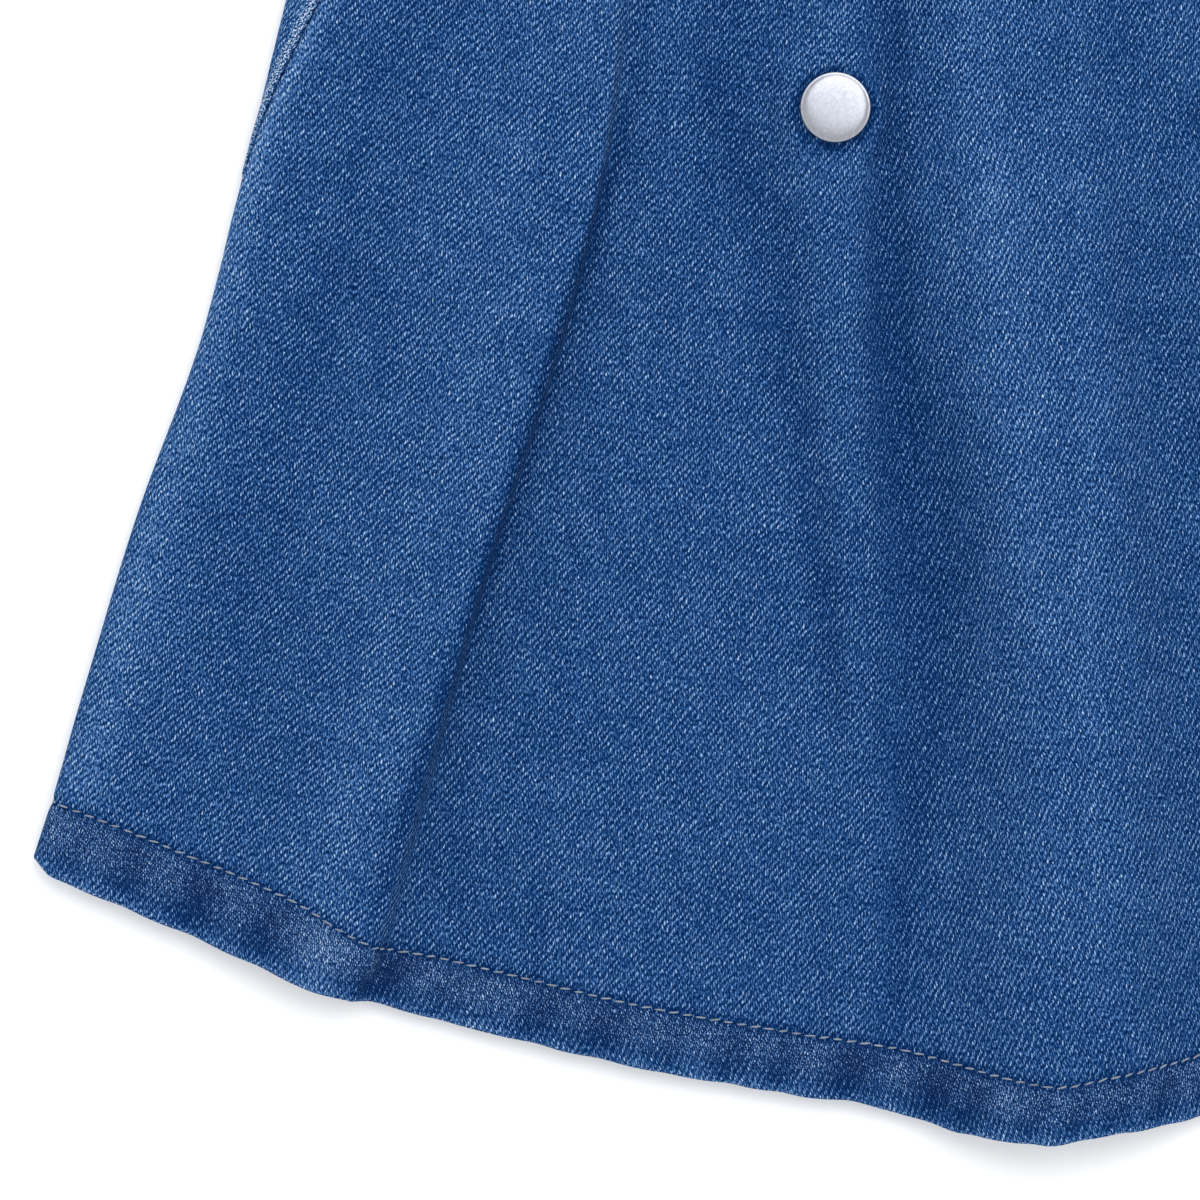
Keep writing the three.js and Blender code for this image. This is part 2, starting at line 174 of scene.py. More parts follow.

# The folds of the front. across is the X of each fold's line a third and two thirds of the way down and at
# the hem, height is its Z at the waist seam and then at those three, and tone is the painted light (above
# zero) or painted shade (below zero) on the cloth there, pale on the crests and deep in the troughs. drop is
# how far the hem lies below its corners. steps is the columns of gathers, and samples the columns of this
# mesh, that lead up to the fold.
Fold = namedtuple("Fold", "name across height drop steps samples tone")
FOLDS = (
    Fold("left trough", (-104, -128, -139), (7.5, 6.2, 6.2, 7.6), 13.4, 10, 22, (-0.05, -0.06, -0.06, 0)),
    Fold("left flute", (-70, -94, -113), (7.5, 9, 10.4, 11.6), 24.8, 9, 20, (0.1, 0.1, 0.1, 0.1)),
    Fold("flute edge", (-51.4, -77.4, -103), (7, 8.4, 10, 10.8), 27.8, 9, 22, (0.1, 0.14, 0.14, 0.1)),
    Fold("flute foot", (-50, -76, -98.6), (6.6, 3.4, 3.2, 5.4), 28.6, 3, 10, (0, -0.1, -0.1, -0.1)),
    Fold("middle", (-32, -38, -47), (7, 4.3, 4.5, 6.8), 41.2, 5, 34, (0, 0, 0, 0)),
    Fold("left valley", (-16.5, -2, -8), (6.2, 3.2, 4, 6.4), 48.2, 5, 28, (0, 0, 0, 0)),
    Fold("snap ridge", (1.5, 4, 3), (7.2, 7, 5.2, 6.2), 49.6, 7, 12, (0.2, 0.16, 0, 0)),
    Fold("deep valley", (12.6, 18.5, 12.5), (6.4, 3, 3, 5.8), 51.4, 6, 11, (-0.1, -0.14, -0.14, -0.12)),
    Fold("right flute", (33, 46.5, 44), (7.2, 9.2, 14.6, 16.8), HEM_DROP, 8, 24, (0.1, 0.12, 0.1, 0.06)),
    Fold("flute shoulder", (53.5, 56, 57), (7.2, 8.6, 13.4, 15.6), 57, 7, 12, (0.08, 0.1, 0.1, 0.06)),
    Fold("right valley", (66, 80, 82), (6.6, 4.4, 3.3, 5.8), 51.2, 7, 18, (-0.06, -0.08, -0.06, -0.06)),
    Fold("outer flute", (87, 108, 119), (7.5, 8.6, 11.2, 12.6), 33, 8, 22, (0.1, 0.12, 0.12, 0.06)),
    Fold("right trough", (106, 130, 143), (7.2, 6.2, 6, 7.6), 17.2, 7, 16, (-0.05, -0.08, -0.08, 0)),
)
LAST_STEPS = 7
LAST_SAMPLES = 18
MAIN_ROWS = 132
HEM_FACE_ROWS = 14
TURN_ROWS = 6
INSIDE_ROWS = 7
BACK_EDGE_SAMPLES = 16
BACK_MIDDLE_SAMPLES = 90
BACK_MIDDLE_HALF = 60  # the half width of the back's middle cloth, which gives way over as much again
BAND_ROLL_SAMPLES = 14
BAND_FRONT_SAMPLES = 294
BAND_BACK_SAMPLES = 150
BAND_FACE_SAMPLES = 26
BAND_INNER_SAMPLES = 12
BAND_EDGE_SAMPLES = 7
BAND_EASE = 1.05  # how much longer the casing's cloth is than the band's own line

# Finer creases of the front, each a line of points from the waist down: the point's X and Y, the crease's
# half width there, how far it lifts the cloth (below zero for a trough) and how much it pales it (below zero
# for deeper). That tone is painted light on the crests and painted shade in the troughs, but wear on the
# turning edges and on the hem's folded line.
CREASES = (
    # painted shade on the cloth beside the left flute's edge
    ((-39.5, 90, 2.4, -0.1, -0.1), (-43, 64, 1.9, -0.2, -0.55), (-56.4, 21, 1.8, -0.2, -1.15),
     (-79.2, -51, 1.8, -0.2, -1.2), (-94, -97, 1.8, -0.2, -0.9), (-101, -126, 1.8, -0.1, -0.1)),
    # left of the snap, broad above and narrow below, a trough with painted shade
    ((-23, 92, 6, -0.8, -0.2), (-24, 64, 6, -1.4, -0.5), (-15, 40, 6.5, -1.2, -0.5), (-10, 8, 6, -1, -0.5),
     (-5.5, -20, 4, -0.8, -0.42), (-1, -60, 2.4, -0.5, -0.35), (1, -76, 2, 0, 0)),
    # right of the snap, the deepest trough, with the deepest painted shade
    ((12, 110, 2.5, -0.5, -0.2), (12.4, 86, 2.6, -0.8, -0.45), (12.2, 46, 3.4, -1.4, -0.65),
     (12.8, 16, 4.8, -1.6, -0.75), (17, -12, 8, -1.4, -0.65), (21, -38, 8.5, -1.2, -0.6),
     (20.5, -64, 5.5, -1, -0.45), (16.5, -96, 3.6, -0.8, -0.4), (14.5, -130, 3.2, -0.4, -0.35)),
    # a slack trough inside the left flute, with faint painted shade
    ((-95, 84, 5, -0.3, -0.1), (-103, 36, 6, -0.5, -0.14), (-113.5, 6, 8, -0.8, -0.18),
     (-126, -44, 9, -0.7, -0.14), (-131, -70, 8, 0, 0)),
    # the rounded crest beside the flute's edge, with painted light
    ((-62, 86, 5, 0.2, 0.15), (-67.5, 47, 5, 0.4, 0.1), (-80, -10, 6, 0.5, 0.1), (-97, -60, 6, 0.5, 0.15),
     (-106, -98, 6, 0, 0.35), (-109, -118, 6, 0, 0.35), (-111, -128, 6, 0, 0.1)),
    # a worn line where the hem is folded under the flute's edge
    ((-98.8, -115, 0.6, 0.2, 0.8), (-98.2, -121, 0.7, 0.3, 1), (-96.9, -127, 0.6, 0, 0.6)),
    # the left edge, where the cloth turns over, paler with wear and with painted light
    ((-113, 90, 4, 0, 0.3), (-124, 46, 4, 0, 0.6), (-143, -20, 5, 0, 0.65), (-160, -80, 5.5, 0, 0.55)),
    # the right flute's near shoulder and its crest, with painted highlights
    ((27, 78, 5, 0.2, 0.2), (34, 44, 6, 0.8, 0.35), (38, 6, 6, 0.7, 0.3), (42, -34, 5, 0.4, 0.2),
     (44, -100, 5, 0, 0.05)),
    ((51.5, 88, 1.6, 0.3, 0.15), (52, 40, 1.6, 0.5, 0.25), (53, -30, 1.8, 0.5, 0.3), (55, -128, 2, 0.2, 0.2)),
    # the fall to the right of that crest and a short dip in it, both with painted shade
    ((62, 74, 8, -0.4, 0), (66, 40, 9, -0.9, -0.05), (68, 0, 9, -0.7, -0.05), (72, -50, 8, 0, 0)),
    ((75.5, 70, 3, 0, 0), (76.5, 60, 4, -1, -0.5), (78, 48, 3, 0, 0)),
    # a short tuck above the hem, with painted shade
    ((-63, -96, 1.5, 0, 0), (-63.4, -108, 1.6, -0.5, -0.3), (-63.6, -122, 1.8, -0.7, -0.4)),
    # the unseen right side: troughs with painted shade, a crest with painted light, and the turning edge
    # paler with wear and painted light
    ((93, 92, 5, -0.4, -0.1), (104, 40, 6, -0.7, -0.18), (118, -8, 7, -0.8, -0.2), (131, -60, 7, 0, 0)),
    ((97, -20, 4, 0, 0), (101, -56, 5, -0.6, -0.15), (104, -104, 4, 0, 0)),
    ((84, 30, 3, 0, 0), (88, -10, 4, 0.6, 0.18), (92, -52, 4, 0, 0)),
    ((116, 80, 4, 0, 0.2), (133, 26, 4.5, 0, 0.35), (150, -30, 5, 0, 0.4), (163, -84, 5.5, 0, 0.4)),
)

# Puckers of the front hem: X on the hem, half width and depth.
PUCKERS = (
    (-164, 3.2, 0.5), (-151.5, 3.4, 0.8), (-137, 4.2, 1), (-122.5, 4, 1), (-111, 3.6, -0.3), (-98, 5, 1.1),
    (-84, 3, 0.4), (-64, 4, 0.9), (-50, 4.6, 0.9), (-36, 3, 0.4), (-22.5, 3.4, 0.8), (-11.8, 3, 0.7),
    (3.5, 4, 1.1), (20.4, 3.8, 1.2), (28.5, 2.8, 0.9), (41, 2.4, 0.6), (51, 3, 0.7), (60, 2.6, 0.6),
    (70, 3.2, 0.8), (80, 2.8, 0.8), (93, 3.4, 0.7), (107, 4, 0.9), (119, 3.2, 0.7), (132, 4, 1),
    (146, 3.4, 0.8), (159, 3.2, 0.6),
)
PUCKER_LEAN = 0.3  # how far a pucker runs to the right for each millimetre that it rises
PUCKER_DEPTH = 0.7
PUCKER_ENDS = 0.02  # how far off its two ends a pucker stops, as a share of the hem's depth
PUCKER_FULLNESS = 0.7  # below 1, so that it keeps its depth for longer between them
EDGE_PULL = 0.45  # how far a pucker draws the hem's edge up
# Where the front hem's edge hangs lower (below zero) or higher than its folds alone would leave it: its X,
# half width and lift.
HEM_SAGS = ((24, 9, -1.3), (54, 14, 1.15))
# The hem's corners are rounded off by this much, over this far.
CORNER_ROUND = 2
CORNER_REACH = 2.4
# How much deeper than its usual depth the front hem is turned up, at these X.
TURN_UP_XS = (-HEM_HALF, -150, -128, -116, -103, -88, -60, HEM_HALF)
TURN_UP_EXTRAS = (0, 1.3, 1.9, 1.3, -2.8, -2.1, -1.5, -1.3)

# How far the warp leans, down and to the left, in each part of the front and in the back, in degrees, and the
# point that each leans about.
GRAIN_LEAN = {"left": 7.5, "middle": 1, "right": -12, "back": -8}
GRAIN_PIVOT = {"left": (-90, 0), "middle": (-40, 0), "right": (20, 0), "back": (100, 100)}
# How far before the flute's foot the middle's lean starts, and before the deep valley it ends, and over how
# far it comes and goes, in shares of the way from one fold to the next.
LEAN_START = 0.5
LEAN_COMES = 0.4
LEAN_END = 0.1
LEAN_GOES = 0.6
FRONT_HOME_X = -38  # the X at which the flat cloth's U is the same as the laid cloth's X
HOME_SEARCH = 40  # how many columns either side of the middle one that X is looked for in
# How far the turned-up hem is dragged along, for each millimetre of its depth, at these X.
HEM_SKEW_XS = (-170, -90, 0, 60, 170)
HEM_SKEWS = (-0.34, -0.3, -0.24, 0.0, 0.1)


def mix(a, b, share):
    return a + (b - a) * share


def ease(share):
    return (1 - np.cos(np.pi * np.clip(share, 0, 1))) / 2


def bell(distance, width):
    return np.exp(-((distance / width) ** 2))


def along_edge(distance, mark):
    """A mark's strength at a distance from the edge that it follows."""
    return mark.strength * bell(distance - mark.place, mark.reach)


def hermite(start, end, start_slope, end_slope, u):
    u2 = u * u
    u3 = u2 * u
    return (
        start * (2 * u3 - 3 * u2 + 1)
        + end * (3 * u2 - 2 * u3)
        + start_slope * (u3 - 2 * u2 + u)
        + end_slope * (u3 - u2)
    )


def along(values, t):
    """A smooth curve through values at even stations, with t from 0 to 1."""
    values = np.asarray(values, float)
    spans = len(values) - 1
    i = np.minimum(spans - 1, np.floor(t * spans)).astype(int)
    slopes = np.gradient(values)
    return hermite(values[i], values[i + 1], slopes[i], slopes[i + 1], t * spans - i)


def through(xs, ys, x):
    """A smooth curve through uneven points, xs in rising order."""
    xs = np.asarray(xs, float)
    ys = np.asarray(ys, float)
    low = np.maximum(np.arange(len(xs)) - 1, 0)
    high = np.minimum(np.arange(len(xs)) + 1, len(xs) - 1)
    slopes = (ys[high] - ys[low]) / (xs[high] - xs[low])
    i = np.clip(np.searchsorted(xs, x) - 1, 0, len(xs) - 2)
    width = xs[i + 1] - xs[i]
    u = np.clip((x - xs[i]) / width, 0, 1)
    return hermite(ys[i], ys[i + 1], slopes[i] * width, slopes[i + 1] * width, u)


def side_x(side, t):
    return side.sign * along(side.half, t)


FOLD_COLUMNS = np.cumsum([fold.steps for fold in FOLDS])
FRONT_COLUMNS = FOLD_COLUMNS[-1] + LAST_STEPS
LINE_COLUMNS = np.array([0, *FOLD_COLUMNS, FRONT_COLUMNS])


def fold_x(i, t):
    waist = mix(ROLL - WAIST_HALF, WAIST_HALF - ROLL, FOLD_COLUMNS[i] / FRONT_COLUMNS)
    return along((waist, *FOLDS[i].across), t)


HEM_XS = (-HEM_HALF, *(fold.across[2] for fold in FOLDS), HEM_HALF)
HEM_DROPS = (0, *(fold.drop for fold in FOLDS), 0)


def hem_y(x):
    return CORNER_Y - through(HEM_XS, HEM_DROPS, x)


def hem_pull(x):
    """How far the front hem's edge is drawn up by its puckers and by the hang of the cloth."""
    puckers = EDGE_PULL * sum(depth * bell(x - place, width) for place, width, depth in PUCKERS)
    return puckers + sum(lift * bell(x - place, width) for place, width, lift in HEM_SAGS)


def lines_of(left, values, right):
    """A value for each row at the top of the left roll, at each fold and at the top of the right roll."""
    return np.stack([left, *values, right], axis=-1)


def line_xs(t):
    folds = [fold_x(i, t) for i in range(len(FOLDS))]
    return lines_of(side_x(LEFT, t) + ROLL, folds, side_x(RIGHT, t) - ROLL)


def line_zs(t):
    top = np.full_like(t, 2 * ROLL)
    return lines_of(top, [along(fold.height, t) for fold in FOLDS], top)


# Painted shade and light along each line: deep in the folds' troughs and pale on their crests, and at the
# rolls' tops partly wear and partly painted light.
def painted_line_shading(t):
    top = np.full_like(t, ROLL_TONE)
    return lines_of(top, [along(fold.tone, t) for fold in FOLDS], top)


def between_lines(x, lines):
    """The line that each x of a row lies right of, and its share of the way to the next."""
    i = np.sum(x[..., None] > lines[:, None, 1:-1], axis=-1)
    left = np.take_along_axis(lines, i, axis=1)
    right = np.take_along_axis(lines, i + 1, axis=1)
    return i, np.clip((x - left) / (right - left), 0, 1)


def blend_lines(lines, i, share):
    return mix(np.take_along_axis(lines, i, axis=1), np.take_along_axis(lines, i + 1, axis=1), share)


def hem_line_x(x, t):
    """The X on the hem that the line through each x runs down to."""
    lines = line_xs(t)
    ends = line_xs(np.ones_like(t))
    i, share = between_lines(x, lines)
    inside = blend_lines(ends, i, share)
    left = ends[:, :1] + x - lines[:, :1]
    right = ends[:, -1:] + x - lines[:, -1:]
    return np.where(x <= lines[:, :1], left, np.where(x >= lines[:, -1:], right, inside))


def gather_wave(column):
    """The waist's gathers, no two alike, as the sines that move and shrink them never fall in step."""
    wander = 0.9 * np.sin(column * 0.83) + 0.6 * np.sin(column * 0.31 + 2)
    height = 0.72 + 0.28 * np.sin(column * 0.47 + 1)
    return height * np.cos(2 * np.pi * (column + wander) / GATHER_STEPS)


def front_height(x, t, depth):
    """The height of the front's face, as in the part's source, but with gathers of their own lengths."""
    lines = line_xs(t)
    i, share = between_lines(x, lines)
    fold = blend_lines(line_zs(t), i, ease(share))
    across = np.minimum(1, np.abs(x) / WAIST_HALF)
    arch = BAND_ARCH * (1 - across**2) * bell(depth, ARCH_REACH)
    column = mix(LINE_COLUMNS[i], LINE_COLUMNS[i + 1], share)
    from_side = np.minimum(x - side_x(LEFT, t)[:, None], side_x(RIGHT, t)[:, None] - x) - ROLL
    reach = GATHER_REACH * (0.85 + 0.35 * np.sin(column * 0.67 + 0.5))
    gather = GATHER_RISE * gather_wave(column) * ease(from_side / EDGE_FADE) * bell(depth, reach)
    from_snap = np.hypot(x, depth - SNAP_DEPTH)
    return mix(SNAP_SEAT_Z, fold + arch + gather, ease((from_snap - SEAT_FLAT) / (SEAT_FADE - SEAT_FLAT)))


def roll_x(side, t, reach):
    turn = np.clip(reach / ROLL, -np.pi / 2, np.pi / 2)
    beyond = np.maximum(0, np.abs(reach) - QUARTER)
    return side_x(side, t)[:, None] - side.sign * (ROLL * (1 - np.cos(turn)) + beyond)


def roll_z(reach):
    return ROLL * (1 + np.sin(np.clip(reach / ROLL, -np.pi / 2, np.pi / 2)))


def reach_of(side, t, x):
    return side.sign * (side_x(side, t) - x) - ROLL + QUARTER


def steps_between(start, end, count, last=False):
    """count columns from start up to end, which each hold a value for every row."""
    shares = np.arange(count + (1 if last else 0)) / count
    return start[:, None] + (end - start)[:, None] * shares


Rows = namedtuple("Rows", "share rise sink")


def panel_rows():
    """The rows of a panel from its waist seam down, round the hem's edge and up inside to the cut edge.

    share is how far down to the line of stitches, rise how far above the hem's edge, and sink how far the
    cloth's face lies behind the outer face.
    """
    main = np.linspace(0, 1, MAIN_ROWS, endpoint=False)
    face = np.linspace(HEM_DEPTH, PLY, HEM_FACE_ROWS, endpoint=False)
    turn = np.linspace(0, np.pi, TURN_ROWS)
    inside = np.linspace(PLY, HEM_DEPTH - TURN_SHORT, INSIDE_ROWS + 1)[1:]
    share = np.concatenate([main, np.ones(len(face) + len(turn) + len(inside))])
    rise = np.concatenate([np.full(len(main), HEM_DEPTH), face, PLY * (1 - np.sin(turn)), inside])
    flat = np.zeros(len(main) + len(face))
    sink = np.concatenate([flat, PLY * (1 - np.cos(turn)), np.full(len(inside), 2 * PLY)])
    return Rows(share, rise, sink)


def station(rows):
    down = rows.share * (1 - HEM_DEPTH / SIDE_LENGTH)
    return np.where(rows.share < 1, down, 1 - rows.rise / SIDE_LENGTH)


def row_ys(x, t, rows, inset):
    """Y of each point, from the waist seam down to the hem's edge, and up again inside it."""
    edge_x = hem_line_x(x, t)
    edge = hem_y(edge_x) + inset * ease((HEM_HALF - np.abs(edge_x)) / INSET_REACH)
    pull = CORNER_ROUND * bell(HEM_HALF - np.abs(edge_x), CORNER_REACH)
    rise = rows.rise[:, None]
    if inset == 0:
        pull = pull + hem_pull(edge_x)
        rise = rise * (1 + through(TURN_UP_XS, TURN_UP_EXTRAS, edge_x) / HEM_DEPTH)
    edge = edge + pull * (1 - rows.rise / HEM_DEPTH)[:, None]
    top = SEAM_Y - SEAM_GAP
    return mix(top, edge + rise, rows.share[:, None])


def crease_marks(x, y):
    """How far each crease, at the nearest place on its line, lifts and pales the cloth: its painted shade and
    light, and its wear.
    """
    lift = np.zeros_like(x)
    tone = np.zeros_like(x)
    for crease in CREASES:
        nearest = np.full_like(x, np.inf)
        values = np.zeros(x.shape + (3,))
        for start, end in zip(crease, crease[1:]):
            start = np.array(start, float)
            end = np.array(end, float)
            way = end[:2] - start[:2]
            share = np.clip(((x - start[0]) * way[0] + (y - start[1]) * way[1]) / (way @ way), 0, 1)
            distance = np.hypot(x - start[0] - way[0] * share, y - start[1] - way[1] * share)
            closer = distance < nearest
            nearest = np.where(closer, distance, nearest)
            here = start[2:] + (end[2:] - start[2:]) * share[..., None]
            values = np.where(closer[..., None], here, values)
        profile = bell(nearest, values[..., 0])
        lift += values[..., 1] * profile
        tone += values[..., 2] * profile
    return lift, tone


def pucker_marks(hem_x, rise):
    """Puckers between the hem's edge and its stitches, leaning as the turned cloth is dragged along."""
    in_hem = np.clip(rise / HEM_DEPTH, 0, 1)
    strength = np.sin(np.pi * mix(PUCKER_ENDS, 1 - PUCKER_ENDS, in_hem)) ** PUCKER_FULLNESS
    lift = np.zeros_like(hem_x)
    for x, width, depth in PUCKERS:
        lift -= depth * bell(hem_x - x - PUCKER_LEAN * (rise - HEM_DEPTH / 2), width)
    return lift * strength * (rise < HEM_DEPTH)


def face_normals(x, z):
    dx = np.gradient(x, axis=1)
    dz = np.gradient(z, axis=1)
    length = np.hypot(dx, dz)
    return -dz / length, dx / length


def spread_cloth(points, home_x):
    """Where each point lay in the flat cloth: U across it and V up it, both in millimetres.

    U is X itself at home_x, in the middle of the outer face, and grows the other way on the back.
    """
    dx = np.diff(points[..., 0], axis=1)
    dz = np.diff(points[..., 2], axis=1)
    across = np.concatenate([np.zeros((len(points), 1)), np.cumsum(np.hypot(dx, dz), axis=1)], axis=1)
    down = np.diff(points, axis=0)
    length = np.cumsum(np.hypot(down[..., 1], down[..., 2]), axis=0)
    v = points[0, :, 1] - np.concatenate([np.zeros((1, points.shape[1])), length])
    direction = np.sign(points[0, -1, 0] - points[0, 0, 0])
    u = np.empty_like(across)
    for j, row in enumerate(points):
        first = len(row) // 2 - HOME_SEARCH
        home = first + np.argmin(np.abs(row[first : first + 2 * HOME_SEARCH, 0] - home_x))
        u[j] = across[j] - across[j, home] + direction * row[home, 0]
    return np.stack([u, v], axis=-1)


def turned(uv, part):
    """The cloth's own coordinates, turned so that the warp leans as it does in one part of the skirt."""
    angle = math.radians(GRAIN_LEAN[part])
    u = uv[..., 0] - GRAIN_PIVOT[part][0]
    v = uv[..., 1] - GRAIN_PIVOT[part][1]
    across = u * math.cos(angle) - v * math.sin(angle)
    up = u * math.sin(angle) + v * math.cos(angle)
    return np.stack([across, up], axis=-1)


# A panel's piece, with the points along its line of hem stitches and which way is outward there.
Panel = namedtuple("Panel", "piece stitch_line outward_x outward_z")


def add_piece(name, mesh, material):
    piece = bpy.data.objects.new(name, mesh)
    bpy.context.scene.collection.objects.link(piece)
    mesh.materials.append(material)
    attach(piece, "root")
    return piece


def cloth_mesh(name, points, maps, marks):
    """A grid moved onto points, laid out in rows from the waist down, with its UV maps and marks."""
    rows, columns = points.shape[:2]
    shape = bmesh.new()
    bmesh.ops.create_grid(shape, x_segments=columns - 1, y_segments=rows - 1, size=1)
    half = max(vert.co.x for vert in shape.verts)
    order = np.empty(len(shape.verts), int)
    for k, vert in enumerate(shape.verts):
        column = round((vert.co.x / half + 1) / 2 * (columns - 1))
        row = round((1 - vert.co.y / half) / 2 * (rows - 1))
        order[k] = row * columns + column
        vert.co = Vector(points[row, column]) * MM
    mesh = bpy.data.meshes.new(name)
    shape.to_mesh(mesh)
    shape.free()
    corners = np.empty(len(mesh.loops), int)
    mesh.loops.foreach_get("vertex_index", corners)
    for map_name, uv in maps.items():
        layer = mesh.uv_layers.new(name=map_name)
        layer.uv.foreach_set("vector", (uv.reshape(-1, 2)[order[corners]] * MM).ravel())
    for mark_name, values in marks.items():
        mark = mesh.attributes.new(mark_name, "FLOAT", "POINT")
        mark.data.foreach_set("value", values.ravel()[order])
    mesh.shade_smooth()
    return mesh


def thicken(piece):
    """Gives a panel its wall, a little thinner than the ply, so that the hem's two plies lie apart."""
    solid = piece.modifiers.new("ply", "SOLIDIFY")
    solid.thickness = (PLY - PLY_GAP) * MM
    solid.offset = -1
    return piece


def front_outer(rows):
    """Each row's station, then X, Y, Z and the distance from the side seams on the front's outer face."""
    t = station(rows)
    lines = line_xs(t)
    left_seam = along(LEFT.seam, t) + SHELL_GAP / 2
    right_seam = along(RIGHT.seam, t) + SHELL_GAP / 2
    left_reach = steps_between(left_seam, reach_of(LEFT, t, lines[:, 1]), FOLDS[0].samples)
    right_reach = steps_between(reach_of(RIGHT, t, lines[:, -2]), right_seam, LAST_SAMPLES, last=True)
    spans = [steps_between(lines[:, i], lines[:, i + 1], FOLDS[i].samples) for i in range(1, len(FOLDS))]
    x = np.concatenate([roll_x(LEFT, t, left_reach), *spans, roll_x(RIGHT, t, right_reach)], axis=1)
    y = row_ys(x, t, rows, 0)
    z = front_height(x, t, SEAM_Y - y)
    from_seam = np.full_like(x, UNMARKED)
    sides = (
        (left_reach, left_seam, slice(left_reach.shape[1])),
        (right_reach, right_seam, slice(-right_reach.shape[1], None)),
    )
    for reach, seam, columns in sides:
        z[:, columns] = np.where(reach > QUARTER, z[:, columns], roll_z(reach))
        from_seam[:, columns] = reach - seam[:, None]
    in_hem = (rows.share[:, None] == 1) & (rows.rise[:, None] < HEM_DEPTH)
    z += np.where(in_hem, HEM_PUFF * np.minimum(1, z / (2 * ROLL)), 0)
    return t, x, y, z, from_seam


def rise_of(rows, y):
    """How far each point lies above its hem's edge."""
    return np.where(rows.share[:, None] < 1, y - y[MAIN_ROWS] + HEM_DEPTH, rows.rise[:, None])


def stitch_groove(rise):
    return along_edge(rise - HEM_DEPTH, STITCH_GROOVE)


# The painted shade and light of the folds at each point.
def painted_fold_shading(x, t):
    i, share = between_lines(x, line_xs(t))
    return blend_lines(painted_line_shading(t), i, ease(share))


def front_relief(x, y, z, rise, from_seam, lift, pucker):
    """How far the front's outer face stands out of its folds."""
    from_snap = np.hypot(x, y - SNAP_Y)
    away_from_snap = ease((from_snap - SEAT_FLAT) / (SEAT_FADE - SEAT_FLAT))
    relief = lift * away_from_snap + PUCKER_DEPTH * pucker + stitch_groove(rise)
    # The seam stands out beside its groove, but not on the underside, which keeps its flat face.
    relief += along_edge(from_seam, SEAM_RIDGE) * ease(z / ROLL) + along_edge(from_seam, SEAM_GROOVE)
    return relief + along_edge(from_snap - SNAP_RADIUS, SNAP_DENT)


def sewn_tone(x, y, rise, from_seam, in_hem, pucker):
    """The tones of the front's hem and seams, with painted shade in the puckers' troughs and along the
    stitches, painted light on the puckers' ridges, and the snap's painted shadow below it and to its left.
    """
    tone = in_hem * (HEM_TONE + PUCKER_SHADING * pucker + along_edge(rise, HEM_FACE_TONE))
    tone += along_edge(rise, HEM_EDGE_TONE) + along_edge(rise - HEM_DEPTH, STITCH_GROOVE_SHADE)
    tone += along_edge(from_seam, SEAM_EDGE_TONE) + along_edge(from_seam, SEAM_LINE_TONE)
    from_shadow = np.hypot(x - SHADOW_SHIFT[0], y - SNAP_Y - SHADOW_SHIFT[1])
    return tone + along_edge(from_shadow - SNAP_RADIUS, SNAP_SHADOW)


def fold_number(name):
    """A fold's place among the lines, where the top of the left roll is 0."""
    return 1 + [fold.name for fold in FOLDS].index(name)


def front_grain(points, x, t, hem_x, rise):
    """The front cloth's two UV maps, one for its middle and one for its sides, and the middle one's share."""
    uv = spread_cloth(points, FRONT_HOME_X)
    uv[..., 0] += np.interp(hem_x, HEM_SKEW_XS, HEM_SKEWS) * np.clip(HEM_DEPTH - rise, 0, None)
    i, share = between_lines(x, line_xs(t))
    line = i + share
    foot = fold_number("flute foot")
    valley = fold_number("deep valley")
    middle = ease((line - foot + LEAN_START) / LEAN_COMES) * ease((valley - LEAN_END - line) / LEAN_GOES)
    is_left = (line < (foot + valley) / 2)[..., None]
    sides = np.where(is_left, turned(uv, "left"), turned(uv, "right"))
    return {"grain_sides": sides, "grain_middle": turned(uv, "middle")}, middle


def make_front(material):
    rows = panel_rows()
    t, x, y, z, from_seam = front_outer(rows)
    hem_x = hem_line_x(x, t)
    rise = rise_of(rows, y)
    lift, crease_tone = crease_marks(x, y)
    pucker = pucker_marks(hem_x, rise)
    in_hem = ease((HEM_DEPTH - rise) / HEM_FADE)
    out = front_relief(x, y, z, rise, from_seam, lift, pucker) - rows.sink[:, None]
    normal_x, normal_z = face_normals(x, z)
    points = np.stack([x + normal_x * out, y, z + normal_z * out], axis=-1)
    maps, middle = front_grain(points, x, t, hem_x, rise)
    marks = {
        # The tone: painted shade and light on the folds, creases and puckers, the snap's painted shadow, and
        # the hem's and seams' wear.
        "tone": crease_tone + painted_fold_shading(x, t) + sewn_tone(x, y, rise, from_seam, in_hem, pucker),
        "worn": along_edge(from_seam, SEAM_WEAR) + along_edge(rise, HEM_WEAR),
        "dots": FRONT_HEM_DOTS * in_hem * ease((rise - FRONT_DOTS_START) / FRONT_DOTS_FADE) + BARE_DOTS,
        "middle": middle,
    }
    piece = thicken(add_piece("skirt_front", cloth_mesh("skirt_front", points, maps, marks), material))
    return Panel(piece, points[MAIN_ROWS], normal_x[MAIN_ROWS], normal_z[MAIN_ROWS])


